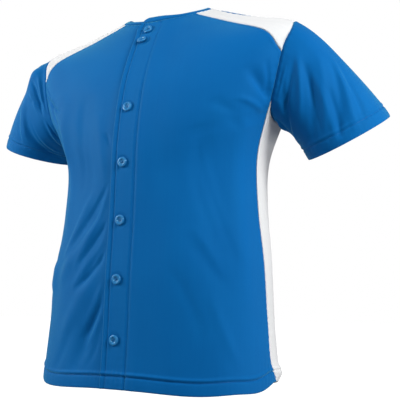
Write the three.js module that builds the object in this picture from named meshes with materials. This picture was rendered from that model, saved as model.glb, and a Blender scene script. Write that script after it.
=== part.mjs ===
// A full-button baseball jersey, filled out as if worn, with nobody in it.
// Millimetres, +Z up, front towards -Y, the wearer's left towards +X.
// The origin lies between the two points where the neck meets the shoulders.
import * as THREE from 'three';

// Driving sizes
const CLOTH = 1.8;              // thickness of a cloth wall
const SEAM_GAP = 0.3;           // space between pieces that are sewn together
const LAYER_GAP = 0.3;          // space between cloth layers that lie on each other
const TOP_LAYER = CLOTH + LAYER_GAP;
const PLACKET = { freeX: -22, seamX: 23 };   // outer placket, from its free edge to its seam
const UNDERLAP = { seamX: -17, endX: 17 };   // button band below the outer placket
const LIFT_END_X = 62;          // where the left front comes down to the base layer again
const NECKBAND_HEIGHT = 10;
const NECK_STEP = 3;            // the upper front corner stands higher, the lower one lower
const NECK_STEP_X = { full: 15, none: 60 };  // the step fades between these distances
const BUTTON = { radius: 8.3, thick: 3.0, dishRadius: 4.9, dish: 1.1, edge: 0.8, sides: 20 };
const BUTTONS_FROM_HEM = [75.5, 171, 266.5, 362, 457.5];
const BUTTONS_FROM_NECK = [56, 30];

// The torso is a stack of rings, from the hem at level 0 to the neck edge at level 10.
// half: half width. side, front, back: where the ring passes. square: fullness of its corners.
// dip: how fast it leaves the side's height on its way to the front or the back.
// sag: how much lower it hangs halfway between the side and the front or the back.
const RINGS = [
  {
    half: 212, sideY: -3, sideZ: -648.5, frontY: -152, frontZ: -664.5,
    backY: 146, backZ: -661, square: 2.25, dip: 1.0, sag: 8.5,
  },
  {
    half: 204, sideY: -3, sideZ: -561, frontY: -148, frontZ: -575,
    backY: 146, backZ: -566, square: 2.2, dip: 1.3, sag: 0,
  },
  {
    half: 198, sideY: -2, sideZ: -462, frontY: -147, frontZ: -483,
    backY: 144, backZ: -474, square: 2.1, dip: 1.4, sag: 0,
  },
  {
    half: 188, sideY: 3, sideZ: -365, frontY: -143, frontZ: -399,
    backY: 146, backZ: -388, square: 2.05, dip: 1.5, sag: 0,
  },
  {
    half: 190, sideY: 8, sideZ: -279, frontY: -142, frontZ: -328,
    backY: 147, backZ: -303, square: 2.0, dip: 1.4, sag: 0,
  },
  {
    half: 215, sideY: 10, sideZ: -204, frontY: -141, frontZ: -276,
    backY: 143, backZ: -239, square: 2.05, dip: 1.1, sag: 0,
  },
  {
    half: 243, sideY: 7, sideZ: -143, frontY: -135, frontZ: -224,
    backY: 131, backZ: -179, square: 2.1, dip: 0.9, sag: 0,
  },
  {
    half: 256, sideY: -3, sideZ: -82, frontY: -122, frontZ: -164,
    backY: 113, backZ: -121, square: 2.1, dip: 1.05, sag: 0,
  },
  {
    half: 248, sideY: -9, sideZ: -52, frontY: -103, frontZ: -114,
    backY: 96, backZ: -76, square: 2.05, dip: 1.15, sag: 0,
  },
  {
    half: 165, sideY: -8, sideZ: -30, frontY: -80, frontZ: -67,
    backY: 78, backZ: -33, square: 1.95, dip: 1.1, sag: 0,
  },
  {
    half: 79, sideY: -5, sideZ: 0, frontY: -60, frontZ: -28,
    backY: 60, backZ: 6, square: 1.9, dip: 1.0, sag: 0,
  },
];
const TOP_LEVEL = RINGS.length - 1;

// The armhole is an oval in angle and level, round the side of the torso at 90 degrees.
const ARMHOLE = { frontWidth: 22, backWidth: 34, middle: 6.35, bottom: 4.8, top: 8.0, steps: 30 };
const SIDE_STEPS = 10;          // armhole steps from the shoulder tip to the side panel's corners
const YOKE_FRONT_STEPS = 6;     // armhole steps from the shoulder tip to the yoke's front corner
const YOKE_BACK_STEPS = 3;      // the same to its back corner

// Seams, as the angle that each one has at a level
const SIDE_FRONT_SEAM = [[0, 90], [2, 87], [4, 79], [5.575, 70.95]];
const SIDE_BACK_SEAM = [[0, 128], [2, 121], [4, 117], [5.575, 119.45]];
const YOKE_FRONT_SEAM = [[6.86, 69.08], [7.2, 64], [7.6, 60.5], [8.25, 57.5], [9, 54.5], [10, 50]];
const YOKE_BACK_SEAM = [[7.685, 109.98], [8.1, 104], [8.5, 97], [9, 88], [9.5, 86], [10, 93]];

// Levels of the rows of points, below the armhole and above it
const LOWER_LEVELS = [0, 0.22, 0.7, 1.2, 1.7, 2.2, 2.7, 3.2, 3.7, 4.2, 4.65, 5.1];
const UPPER_FRONT_LEVELS = [7.2, 7.6, 8.0, 8.4, 8.8, 9.2, 9.6];
const UPPER_BACK_LEVELS = [7.9, 8.15, 8.4, 8.7, 9.0, 9.3, 9.65];
const FRONT_COLUMNS = 11;
const BACK_COLUMNS = 21;
const BAND_COLUMNS = 4;
const WALK_STEPS = 1000;        // parts in which the middle of the front is measured
const NECK_LEVELS = 0.1;        // levels below the neck edge over which its slope is measured

// The largest folds of the torso. Each runs from one angle and level to another.
// reach: half its width in mm. rise: its height in mm, below zero for a trough.
const FOLD_SCALE = { perDegree: 3.2, perLevel: 90 };
const FOLD_FREE_X = { none: 24, full: 60 };      // no fold crosses the button bands
const FOLD_FREE_LEVEL = { full: 8.6, none: 9.8 }; // nor the neck
const TORSO_FOLDS = [
  { angle: -11, level: 3.3, toAngle: -32, toLevel: 2.3, reach: 10, rise: -4 },
  { angle: -14, level: 3.0, toAngle: -40, toLevel: 1.9, reach: 14, rise: 4 },
  { angle: -9, level: 2.6, toAngle: -20, toLevel: 1.75, reach: 10, rise: -3.5 },
  { angle: -14, level: 1.9, toAngle: -30, toLevel: 0.9, reach: 16, rise: 4 },
  { angle: -6, level: 1.65, toAngle: -19, toLevel: 0.4, reach: 12, rise: -5 },
  { angle: -38, level: 6.6, toAngle: -44, toLevel: 3.0, reach: 16, rise: 4 },
  { angle: -20, level: 6.6, toAngle: -23, toLevel: 3.6, reach: 14, rise: -3 },
  { angle: 34, level: 5.2, toAngle: 58, toLevel: 2.6, reach: 16, rise: -3.5 },
  { angle: 58, level: 5.3, toAngle: 70, toLevel: 1.5, reach: 26, rise: 5 },
  { angle: 37, level: 6.05, toAngle: 56, toLevel: 5.0, reach: 10, rise: -3 },
  { angle: 50, level: 6.7, toAngle: 67, toLevel: 5.75, reach: 10, rise: -4 },
  { angle: 36, level: 2.5, toAngle: 54, toLevel: 1.65, reach: 12, rise: -3 },
  { angle: 150, level: 6.4, toAngle: 155, toLevel: 1.8, reach: 18, rise: 5 },
  { angle: 176, level: 5.8, toAngle: 182, toLevel: 1.6, reach: 22, rise: -5 },
  { angle: 209, level: 6.6, toAngle: 202, toLevel: 2.2, reach: 18, rise: 5 },
  { angle: 127, level: 6.0, toAngle: 146, toLevel: 4.5, reach: 12, rise: -4 },
  { angle: 233, level: 6.0, toAngle: 216, toLevel: 4.3, reach: 12, rise: -4 },
  { angle: 168, level: 1.5, toAngle: 152, toLevel: 0.2, reach: 16, rise: -4 },
  { angle: 190, level: 1.7, toAngle: 203, toLevel: 0.3, reach: 15, rise: -4 },
];

// The sleeves. cuff: the middle of the opening. outward and back: the slope of the arm for
// each mm down. tall and deep: half sizes of the opening. roll: its turn about the arm.
// start: the direction in which the cloth leaves the armhole, with its pull at top and bottom.
const SLEEVES = {
  left: {
    side: 1, cuff: [321, 60, -246], outward: 0.44, back: 0.43, tall: 75, deep: 83, roll: 0.15,
    startOut: 2.03, startBack: -0.08, startTop: 164, startBottom: 65, endTop: 99, endBottom: 58,
  },
  right: {
    side: -1, cuff: [326, 61, -230], outward: 0.37, back: 0.16, tall: 73, deep: 82, roll: 0.08,
    startOut: 2.2, startBack: -0.13, startTop: 179, startBottom: 67, endTop: 110, endBottom: 59,
  },
};
const SLEEVE_ROWS = 10;
const SEAM_EASE = 0.12;         // share of a sleeve over which its folds rise from the seam
const MOST_STRETCH = 1.5;       // limit to the thickening of a wall where it bends at a seam
const SLEEVE_FOLD_SCALE = { perDegree: 1.4, perLength: 230 };
const SLEEVE_FOLDS = {
  left: [
    { turn: 66, along: 0.2, toTurn: 108, toAlong: 0.5, reach: 9, rise: 3 },
    { turn: 66, along: 0.33, toTurn: 100, toAlong: 0.7, reach: 9, rise: -3.5 },
    { turn: 46, along: 0.35, toTurn: 86, toAlong: 0.75, reach: 9, rise: 3 },
    { turn: 32, along: 0.45, toTurn: 70, toAlong: 0.85, reach: 9, rise: -3 },
    { turn: 100, along: 0.12, toTurn: 136, toAlong: 0.45, reach: 12, rise: -5 },
    { turn: 250, along: 0.2, toTurn: 222, toAlong: 0.65, reach: 11, rise: -4 },
    { turn: 300, along: 0.25, toTurn: 280, toAlong: 0.75, reach: 11, rise: -3.5 },
    { turn: 275, along: 0.22, toTurn: 252, toAlong: 0.7, reach: 10, rise: 3 },
  ],
  right: [
    { turn: 30, along: 0.12, toTurn: 60, toAlong: 0.3, reach: 24, rise: 6 },
    { turn: 86, along: 0.5, toTurn: 150, toAlong: 0.8, reach: 10, rise: -4 },
    { turn: 108, along: 0.2, toTurn: 168, toAlong: 0.45, reach: 10, rise: -5 },
    { turn: 56, along: 0.4, toTurn: 90, toAlong: 0.72, reach: 10, rise: 3.5 },
    { turn: 245, along: 0.2, toTurn: 215, toAlong: 0.6, reach: 11, rise: -4 },
    { turn: 295, along: 0.3, toTurn: 272, toAlong: 0.8, reach: 11, rise: -3.5 },
  ],
};

const rad = THREE.MathUtils.degToRad;
const { lerp, smoothstep } = THREE.MathUtils;

function blueCloth() {
  return new THREE.MeshStandardMaterial({ color: 0x11589b, roughness: 0.72, metalness: 0 });
}

function whiteCloth() {
  return new THREE.MeshStandardMaterial({ color: 0xebe8e6, roughness: 0.74, metalness: 0 });
}

function bluePlastic() {
  return new THREE.MeshStandardMaterial({ color: 0x3f7fc0, roughness: 0.28, metalness: 0 });
}

// Reads a seam's angle at a level, straight between the rows of its table.
function seamAngle(seam, level) {
  for (let i = 1; i < seam.length; i++) {
    const [lowLevel, lowAngle] = seam[i - 1];
    const [highLevel, highAngle] = seam[i];
    if (level <= highLevel || i === seam.length - 1) {
      const part = (level - lowLevel) / (highLevel - lowLevel);
      return lerp(lowAngle, highAngle, part);
    }
  }
  return seam[0][1];
}

// Reads the ring at a level, on a smooth curve through the table's rows.
function ringAt(level) {
  const below = Math.min(Math.floor(level), TOP_LEVEL - 1);
  const t = level - below;
  const ring = {};
  for (const column of Object.keys(RINGS[0])) {
    const p1 = RINGS[below][column];
    const p2 = RINGS[below + 1][column];
    const p0 = below > 0 ? RINGS[below - 1][column] : 2 * p1 - p2;
    const p3 = below + 2 <= TOP_LEVEL ? RINGS[below + 2][column] : 2 * p2 - p1;
    const square = 2 * p0 - 5 * p1 + 4 * p2 - p3;
    const cube = 3 * p1 - p0 - 3 * p2 + p3;
    ring[column] = 0.5 * (2 * p1 + (p2 - p0) * t + square * t * t + cube * t ** 3);
  }
  return ring;
}

// A point of the smooth torso. Angle 0 is the middle of the front, 90 the wearer's left side.
function smoothTorso(angle, level) {
  const ring = ringAt(level);
  const sine = Math.sin(rad(angle));
  const cosine = Math.cos(rad(angle));
  const fullness = 2 / ring.square;
  const endY = cosine > 0 ? ring.frontY : ring.backY;
  const endZ = cosine > 0 ? ring.frontZ : ring.backZ;
  const across = Math.abs(cosine) ** fullness;
  const x = ring.half * Math.sign(sine) * Math.abs(sine) ** fullness;
  const y = ring.sideY + (endY - ring.sideY) * across;
  const sag = ring.sag * Math.sin(rad(2 * angle)) ** 2;
  const z = ring.sideZ + (endZ - ring.sideZ) * Math.abs(cosine) ** ring.dip - sag;
  return new THREE.Vector3(x, y, z);
}

// The outward direction of the smooth torso, square to its slopes round and up.
function torsoNormal(angle, level) {
  const turn = 0.4;
  const low = Math.max(level - 0.02, 0);
  const high = Math.min(level + 0.02, TOP_LEVEL);
  const round = smoothTorso(angle + turn, level).sub(smoothTorso(angle - turn, level));
  const up = smoothTorso(angle, high).sub(smoothTorso(angle, low));
  return round.cross(up).normalize();
}

// How far one fold moves the cloth at a place (across, along), all in flat mm.
function foldRise(fold, start, end, place) {
  const run = end.clone().sub(start);
  const part = place.clone().sub(start).dot(run) / run.lengthSq();
  const held = THREE.MathUtils.clamp(part, 0, 1);
  const off = place.distanceTo(start.clone().addScaledVector(run, held));
  const fade = smoothstep(held, -0.25, 0.3) * (1 - smoothstep(held, 0.7, 1.25));
  return fold.rise * fade * Math.exp(-((off / fold.reach) ** 2));
}

function torsoFoldRise(angle, level) {
  let rise = 0;
  for (const fold of TORSO_FOLDS) {
    const turn = ((angle - fold.angle + 540) % 360) - 180;
    const place = new THREE.Vector2(turn * FOLD_SCALE.perDegree, level * FOLD_SCALE.perLevel);
    const start = new THREE.Vector2(0, fold.level * FOLD_SCALE.perLevel);
    const across = (fold.toAngle - fold.angle) * FOLD_SCALE.perDegree;
    const end = new THREE.Vector2(across, fold.toLevel * FOLD_SCALE.perLevel);
    rise += foldRise(fold, start, end, place);
  }
  const fromMiddle = Math.abs(smoothTorso(angle, level).x);
  const besideOpening = smoothstep(fromMiddle, FOLD_FREE_X.none, FOLD_FREE_X.full);
  const belowNeck = 1 - smoothstep(level, FOLD_FREE_LEVEL.full, FOLD_FREE_LEVEL.none);
  const frontOnly = Math.cos(rad(angle)) > 0 ? besideOpening : 1;
  return rise * frontOnly * belowNeck;
}

// A point on the outside of the torso's cloth, raised by lift mm, with its outward direction.
function torsoPlace(angle, level, lift = 0) {
  const normal = torsoNormal(angle, level);
  const point = smoothTorso(angle, level);
  point.addScaledVector(normal, torsoFoldRise(angle, level) + lift);
  return { point, normal };
}

// The angle at which a ring of the front passes x.
function frontAngle(x, level) {
  const ring = ringAt(level);
  const sine = (Math.abs(x) / ring.half) ** (ring.square / 2);
  return Math.sign(x) * THREE.MathUtils.radToDeg(Math.asin(sine));
}

// The left front lies on the underlap at its edge, and comes down to the base layer beside it.
function leftFrontLift(angle, level) {
  return TOP_LAYER * (1 - smoothstep(smoothTorso(angle, level).x, PLACKET.seamX + 3, LIFT_END_X));
}

// The level of the seam between the torso and the neckband, below the neck edge.
function neckSeamLevel(angle) {
  const below = smoothTorso(angle, TOP_LEVEL - NECK_LEVELS);
  const step = smoothTorso(angle, TOP_LEVEL).distanceTo(below);
  return TOP_LEVEL - (NECK_LEVELS * NECKBAND_HEIGHT) / step;
}

// A point of the armhole's oval. Step 0 is the shoulder tip, and the steps go down the front.
function armholePlace(step) {
  const turn = (2 * Math.PI * step) / ARMHOLE.steps;
  const width = Math.sin(turn) > 0 ? ARMHOLE.frontWidth : ARMHOLE.backWidth;
  const upper = Math.cos(turn) > 0;
  const height = upper ? ARMHOLE.top - ARMHOLE.middle : ARMHOLE.middle - ARMHOLE.bottom;
  return { angle: 90 - width * Math.sin(turn), level: ARMHOLE.middle + height * Math.cos(turn) };
}

// A cloth wall from a grid of places, each an outer point and an outward direction.
// The wall is as thick as the cloth. edges names the sides that keep half a seam gap.
function clothWall(grid, edges, closed = false) {
  const rows = grid.length;
  const columns = grid[0].length;
  const shifted = grid.map((row) => row.map((place) => place.point.clone()));
  const at = (i, j) => grid[i][closed ? (j + columns) % columns : j];
  const trim = (i, j, inI, inJ, before, after) => {
    const along = at(...after).point.clone().sub(at(...before).point);
    const inward = along.cross(grid[i][j].normal).normalize();
    const inside = at(inI, inJ).point.clone().sub(grid[i][j].point);
    const sign = Math.sign(inward.dot(inside));
    shifted[i][j].addScaledVector(inward, (sign * SEAM_GAP) / 2);
  };
  const lastRow = rows - 1;
  const lastColumn = columns - 1;
  for (let j = 0; j < columns; j++) {
    const before = closed ? j - 1 : Math.max(j - 1, 0);
    const after = closed ? j + 1 : Math.min(j + 1, lastColumn);
    if (edges.includes('bottom')) trim(0, j, 1, j, [0, before], [0, after]);
    if (edges.includes('top')) trim(lastRow, j, lastRow - 1, j, [lastRow, before], [lastRow, after]);
  }
  for (let i = 0; i < rows; i++) {
    const before = Math.max(i - 1, 0);
    const after = Math.min(i + 1, lastRow);
    if (edges.includes('left')) trim(i, 0, i, 1, [before, 0], [after, 0]);
    if (edges.includes('right')) {
      trim(i, lastColumn, i, lastColumn - 1, [before, lastColumn], [after, lastColumn]);
    }
  }
  const positions = [];
  for (const layer of [0, 1]) {
    for (let i = 0; i < rows; i++) {
      for (let j = 0; j < columns; j++) {
        const place = grid[i][j];
        const depth = layer * CLOTH * (place.stretch ?? 1);
        positions.push(...shifted[i][j].clone().addScaledVector(place.normal, -depth).toArray());
      }
    }
  }
  const index = (layer, i, j) => layer * rows * columns + i * columns + (closed ? j % columns : j);
  const faces = [];
  const quad = (a, b, c, d) => faces.push(a, b, c, a, c, d);
  const spans = closed ? columns : lastColumn;
  for (let i = 0; i < lastRow; i++) {
    for (let j = 0; j < spans; j++) {
      quad(index(0, i, j), index(0, i, j + 1), index(0, i + 1, j + 1), index(0, i + 1, j));
      quad(index(1, i, j), index(1, i + 1, j), index(1, i + 1, j + 1), index(1, i, j + 1));
    }
  }
  for (let j = 0; j < spans; j++) {
    quad(index(0, 0, j), index(1, 0, j), index(1, 0, j + 1), index(0, 0, j + 1));
    quad(index(0, lastRow, j), index(0, lastRow, j + 1), index(1, lastRow, j + 1), index(1, lastRow, j));
  }
  if (!closed) {
    for (let i = 0; i < lastRow; i++) {
      quad(index(0, i, 0), index(0, i + 1, 0), index(1, i + 1, 0), index(1, i, 0));
      const [outer, inner] = [index(0, i, lastColumn), index(1, i, lastColumn)];
      quad(outer, inner, index(1, i + 1, lastColumn), index(0, i + 1, lastColumn));
    }
  }
  const geometry = new THREE.BufferGeometry();
  geometry.setAttribute('position', new THREE.Float32BufferAttribute(positions, 3));
  geometry.setIndex(faces);
  geometry.computeVertexNormals();
  return geometry;
}

function named(name, geometry, material) {
  const mesh = new THREE.Mesh(geometry, material);
  mesh.name = name;
  return mesh;
}

// The wearer's right side is the left one seen in a mirror, so its angles change sign.
// Columns then run the other way, which keeps the faces pointing out.
function sideGrid(side, rows, columns, placeAt) {
  const grid = [];
  for (let i = 0; i < rows; i++) {
    const row = [];
    for (let j = 0; j < columns; j++) row.push(placeAt(i, j));
    grid.push(side > 0 ? row : row.reverse());
  }
  return grid;
}

// Where a sleeve starts, at its armhole, in the direction that it leaves the torso.
function sleeveStart(sleeve, step) {
  const { angle, level } = armholePlace(step);
  return torsoPlace(sleeve.side * angle, level);
}

// A point of a sleeve before its folds: from the armhole at 0 to the cuff at 1.
function smoothSleeve(sleeve, step, along) {
  const turn = (2 * Math.PI * step) / ARMHOLE.steps;
  const mirror = new THREE.Vector3(sleeve.side, 1, 1);
  const arm = new THREE.Vector3(sleeve.outward, sleeve.back, -1).normalize();
  const top = new THREE.Vector3(1, 0, 0).addScaledVector(arm, -arm.x).normalize();
  const front = new THREE.Vector3().crossVectors(arm, top);
  const up = sleeve.tall * Math.cos(turn);
  const ahead = sleeve.deep * Math.sin(turn);
  const [cosRoll, sinRoll] = [Math.cos(sleeve.roll), Math.sin(sleeve.roll)];
  const cuff = new THREE.Vector3(...sleeve.cuff)
    .addScaledVector(top, up * cosRoll - ahead * sinRoll)
    .addScaledVector(front, up * sinRoll + ahead * cosRoll)
    .multiply(mirror);
  const topShare = (1 + Math.cos(turn)) / 2;
  const leave = new THREE.Vector3(sleeve.startOut, sleeve.startBack, -1).normalize().multiply(mirror);
  leave.multiplyScalar(lerp(sleeve.startBottom, sleeve.startTop, topShare));
  const arrive = arm.clone().multiply(mirror);
  arrive.multiplyScalar(lerp(sleeve.endBottom, sleeve.endTop, topShare));
  const armhole = sleeveStart(sleeve, step).point;
  return armhole.multiplyScalar(2 * along ** 3 - 3 * along ** 2 + 1)
    .addScaledVector(leave, along ** 3 - 2 * along ** 2 + along)
    .addScaledVector(cuff, 3 * along ** 2 - 2 * along ** 3)
    .addScaledVector(arrive, along ** 3 - along ** 2);
}

function sleeveNormal(sleeve, step, along) {
  const low = Math.max(along - 0.01, 0);
  const high = Math.min(along + 0.01, 1);
  const round = smoothSleeve(sleeve, step + 0.1, along).sub(smoothSleeve(sleeve, step - 0.1, along));
  const down = smoothSleeve(sleeve, step, high).sub(smoothSleeve(sleeve, step, low));
  return down.cross(round).multiplyScalar(-sleeve.side).normalize();
}

function sleeveFoldRise(folds, step, along) {
  const degrees = (360 * step) / ARMHOLE.steps;
  let rise = 0;
  for (const fold of folds) {
    const turn = ((degrees - fold.turn + 540) % 360) - 180;
    const { perDegree, perLength } = SLEEVE_FOLD_SCALE;
    const place = new THREE.Vector2(turn * perDegree, along * perLength);
    const start = new THREE.Vector2(0, fold.along * perLength);
    const end = new THREE.Vector2((fold.toTurn - fold.turn) * perDegree, fold.toAlong * perLength);
    rise += foldRise(fold, start, end, place);
  }
  return rise * smoothstep(along, 0, SEAM_EASE);
}

// The direction halfway between the torso's cloth and the sleeve's cloth at their seam.
// stretch keeps each wall's thickness where the two meet at an angle.
function armholeSeam(sleeve, step) {
  const { point, normal } = sleeveStart(sleeve, step);
  const sleeveOut = sleeveNormal(sleeve, step, 0);
  const middle = normal.clone().add(sleeveOut).normalize();
  const stretch = Math.min(1 / middle.dot(normal), MOST_STRETCH);
  return { point, normal: middle, stretch };
}

// The rows of a front or the back: each has a level, and where it ends at the side, as an
// angle or as an armhole step. The last row follows the neckband's seam.
function panelRows(sideSeam, yokeSeam, armholeSteps, upperLevels) {
  const lower = LOWER_LEVELS.map((level) => ({ level, outer: seamAngle(sideSeam, level) }));
  const beside = armholeSteps.map((step) => {
    const { level, angle } = armholePlace(step);
    return { level, outer: angle, step };
  });
  const upper = upperLevels.map((level) => ({ level, outer: seamAngle(yokeSeam, level) }));
  const neck = { level: neckSeamLevel(0), outer: seamAngle(yokeSeam, TOP_LEVEL), neck: true };
  return [...lower, ...beside, ...upper, neck];
}

function stepsBetween(first, last) {
  const count = Math.abs(last - first) + 1;
  return Array.from({ length: count }, (_, i) => first + i * Math.sign(last - first));
}

function panelPlace(row, angle, lift) {
  const level = row.neck ? neckSeamLevel(angle) : row.level;
  return torsoPlace(angle, level, lift(angle, level));
}

function flat() {
  return 0;
}

const FRONT_STEPS = stepsBetween(SIDE_STEPS, YOKE_FRONT_STEPS);
const BACK_STEPS = stepsBetween(ARMHOLE.steps - SIDE_STEPS, ARMHOLE.steps - YOKE_BACK_STEPS);
const FRONT_ROWS = panelRows(SIDE_FRONT_SEAM, YOKE_FRONT_SEAM, FRONT_STEPS, UPPER_FRONT_LEVELS);
const BACK_ROWS = panelRows(SIDE_BACK_SEAM, YOKE_BACK_SEAM, BACK_STEPS, UPPER_BACK_LEVELS);

function frontPanel(side) {
  const sleeve = side > 0 ? SLEEVES.left : SLEEVES.right;
  const innerX = side > 0 ? PLACKET.seamX : -UNDERLAP.seamX;
  const lift = side > 0 ? leftFrontLift : flat;
  const grid = sideGrid(side, FRONT_ROWS.length, FRONT_COLUMNS, (i, j) => {
    const row = FRONT_ROWS[i];
    if (j === FRONT_COLUMNS - 1 && row.step !== undefined) return armholeSeam(sleeve, row.step);
    const part = j / (FRONT_COLUMNS - 1);
    return panelPlace(row, side * lerp(frontAngle(innerX, row.level), row.outer, part), lift);
  });
  return clothWall(grid, ['left', 'right', 'top']);
}

function backPanel() {
  const grid = BACK_ROWS.map((row) => {
    const places = [];
    for (let j = 0; j < BACK_COLUMNS; j++) {
      const atLeft = j === 0;
      const atRight = j === BACK_COLUMNS - 1;
      if (row.step !== undefined && (atLeft || atRight)) {
        places.push(armholeSeam(atLeft ? SLEEVES.left : SLEEVES.right, row.step));
      } else {
        const angle = lerp(row.outer, 360 - row.outer, j / (BACK_COLUMNS - 1));
        places.push(panelPlace(row, angle, flat));
      }
    }
    return places;
  });
  return clothWall(grid, ['left', 'right', 'top']);
}

// A white side panel runs from the hem to the lowest part of the armhole.
function sidePanel(side) {
  const sleeve = side > 0 ? SLEEVES.left : SLEEVES.right;
  const topLevel = armholePlace(SIDE_STEPS).level;
  const levels = [...LOWER_LEVELS, topLevel];
  const firstAngle = armholePlace(SIDE_STEPS).angle;
  const lastAngle = armholePlace(ARMHOLE.steps - SIDE_STEPS).angle;
  const columns = ARMHOLE.steps - 2 * SIDE_STEPS + 1;
  const grid = sideGrid(side, levels.length, columns, (i, j) => {
    const step = SIDE_STEPS + j;
    if (i === levels.length - 1) return armholeSeam(sleeve, step);
    const armhole = armholePlace(step);
    const part = (armhole.angle - firstAngle) / (lastAngle - firstAngle);
    const level = levels[i] * (armhole.level / topLevel);
    const front = seamAngle(SIDE_FRONT_SEAM, levels[i]);
    const angle = lerp(front, seamAngle(SIDE_BACK_SEAM, levels[i]), part);
    return torsoPlace(side * angle, level);
  });
  return clothWall(grid, ['left', 'right', 'top']);
}

// How far a step of the armhole is across the yoke: 0 at the front corner, 1 at the back one.
function yokePart(step) {
  const first = armholePlace(YOKE_FRONT_STEPS).angle;
  const last = armholePlace(-YOKE_BACK_STEPS).angle;
  return (armholePlace(step).angle - first) / (last - first);
}

// A white yoke runs over the shoulder, from the armhole to the neckband.
function yokePanel(side) {
  const sleeve = side > 0 ? SLEEVES.left : SLEEVES.right;
  const steps = stepsBetween(YOKE_FRONT_STEPS, -YOKE_BACK_STEPS);
  const frontLevels = [armholePlace(YOKE_FRONT_STEPS).level, ...UPPER_FRONT_LEVELS, TOP_LEVEL];
  const backLevels = [armholePlace(-YOKE_BACK_STEPS).level, ...UPPER_BACK_LEVELS, TOP_LEVEL];
  const grid = sideGrid(side, frontLevels.length, steps.length, (i, j) => {
    if (i === 0) return armholeSeam(sleeve, steps[j]);
    const part = yokePart(steps[j]);
    const front = seamAngle(YOKE_FRONT_SEAM, frontLevels[i]);
    const angle = lerp(front, seamAngle(YOKE_BACK_SEAM, backLevels[i]), part);
    if (i === frontLevels.length - 1) return torsoPlace(side * angle, neckSeamLevel(angle));
    const above = armholePlace(steps[j]).level - lerp(frontLevels[0], backLevels[0], part);
    const share = (frontLevels[i] - frontLevels[0]) / (TOP_LEVEL - frontLevels[0]);
    const level = lerp(frontLevels[i], backLevels[i], part) + above * (1 - share);
    return torsoPlace(side * angle, level);
  });
  return clothWall(grid, ['left', 'right', 'top', 'bottom']);
}

// A straight band down the middle of the front, between two distances from the middle.
function bandPanel(startX, endX, lift, edges) {
  const grid = FRONT_ROWS.map((row) => {
    const places = [];
    for (let j = 0; j < BAND_COLUMNS; j++) {
      const x = lerp(startX, endX, j / (BAND_COLUMNS - 1));
      places.push(panelPlace(row, frontAngle(x, row.level), lift));
    }
    return places;
  });
  return clothWall(grid, edges);
}

function topLayer() {
  return TOP_LAYER;
}

// The angles round the neck at which the pieces below the neckband have their points.
// They start at the outer placket's free edge and end under it, one turn later.
function neckAngles() {
  const between = (start, end, columns) => {
    const list = [];
    for (let j = 0; j < columns; j++) list.push(lerp(start, end, j / (columns - 1)));
    return list;
  };
  const seamLevel = neckSeamLevel(0);
  const bandAngles = (startX, endX) => {
    const places = between(startX, endX, BAND_COLUMNS);
    return places.map((x) => frontAngle(x, seamLevel));
  };
  const yokeFront = seamAngle(YOKE_FRONT_SEAM, TOP_LEVEL);
  const yokeBack = seamAngle(YOKE_BACK_SEAM, TOP_LEVEL);
  const yokeSteps = stepsBetween(YOKE_FRONT_STEPS, -YOKE_BACK_STEPS);
  const yokeAngles = yokeSteps.map((step) => lerp(yokeFront, yokeBack, yokePart(step)));
  const mirrored = (angles) => angles.map((angle) => 360 - angle).reverse();
  const leftFront = between(frontAngle(PLACKET.seamX, seamLevel), yokeFront, FRONT_COLUMNS);
  const rightFront = between(frontAngle(-UNDERLAP.seamX, seamLevel), yokeFront, FRONT_COLUMNS);
  const runs = [
    bandAngles(PLACKET.freeX, PLACKET.seamX),
    leftFront,
    yokeAngles,
    between(yokeBack, 360 - yokeBack, BACK_COLUMNS),
    mirrored(yokeAngles),
    mirrored(rightFront),
    bandAngles(UNDERLAP.seamX, UNDERLAP.endX).map((angle) => 360 + angle),
  ];
  return runs.flatMap((run, i) => (i === 0 ? run : run.slice(1)));
}

function neckband() {
  const onTop = (angle) => angle < YOKE_FRONT_SEAM.at(-1)[1];
  const below = (angle) => angle > 360 - YOKE_FRONT_SEAM.at(-1)[1];
  const grid = [0, 1].map((row) => neckAngles().map((angle) => {
    const level = row === 0 ? neckSeamLevel(angle) : TOP_LEVEL;
    const lift = onTop(angle) ? leftFrontLift(angle, level) : 0;
    const place = torsoPlace(angle, level, lift);
    if (row === 1) {
      const lower = smoothTorso(angle, TOP_LEVEL - NECK_LEVELS);
      const up = smoothTorso(angle, TOP_LEVEL).sub(lower).normalize();
      const fromMiddle = Math.abs(smoothTorso(angle, level).x);
      const nearMiddle = 1 - smoothstep(fromMiddle, NECK_STEP_X.full, NECK_STEP_X.none);
      const step = onTop(angle) ? NECK_STEP : -NECK_STEP;
      if (onTop(angle) || below(angle)) place.point.addScaledVector(up, step * nearMiddle);
    }
    return place;
  }));
  return clothWall(grid, ['bottom']);
}

function sleevePanel(side) {
  const sleeve = side > 0 ? SLEEVES.left : SLEEVES.right;
  const folds = side > 0 ? SLEEVE_FOLDS.left : SLEEVE_FOLDS.right;
  const grid = sideGrid(side, SLEEVE_ROWS, ARMHOLE.steps, (i, j) => {
    const along = i / (SLEEVE_ROWS - 1);
    if (i === 0) return armholeSeam(sleeve, j);
    const normal = sleeveNormal(sleeve, j, along);
    const point = smoothSleeve(sleeve, j, along);
    point.addScaledVector(normal, sleeveFoldRise(folds, j, along));
    return { point, normal };
  });
  return clothWall(grid, ['bottom'], true);
}

// The levels on the middle of the front, each with its distance up from the hem along the cloth.
function frontWalk() {
  const walk = [{ level: 0, distance: 0 }];
  for (let i = 1; i <= WALK_STEPS; i++) {
    const level = (TOP_LEVEL * i) / WALK_STEPS;
    const stride = smoothTorso(0, level).distanceTo(smoothTorso(0, walk.at(-1).level));
    walk.push({ level, distance: walk.at(-1).distance + stride });
  }
  return walk;
}

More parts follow.
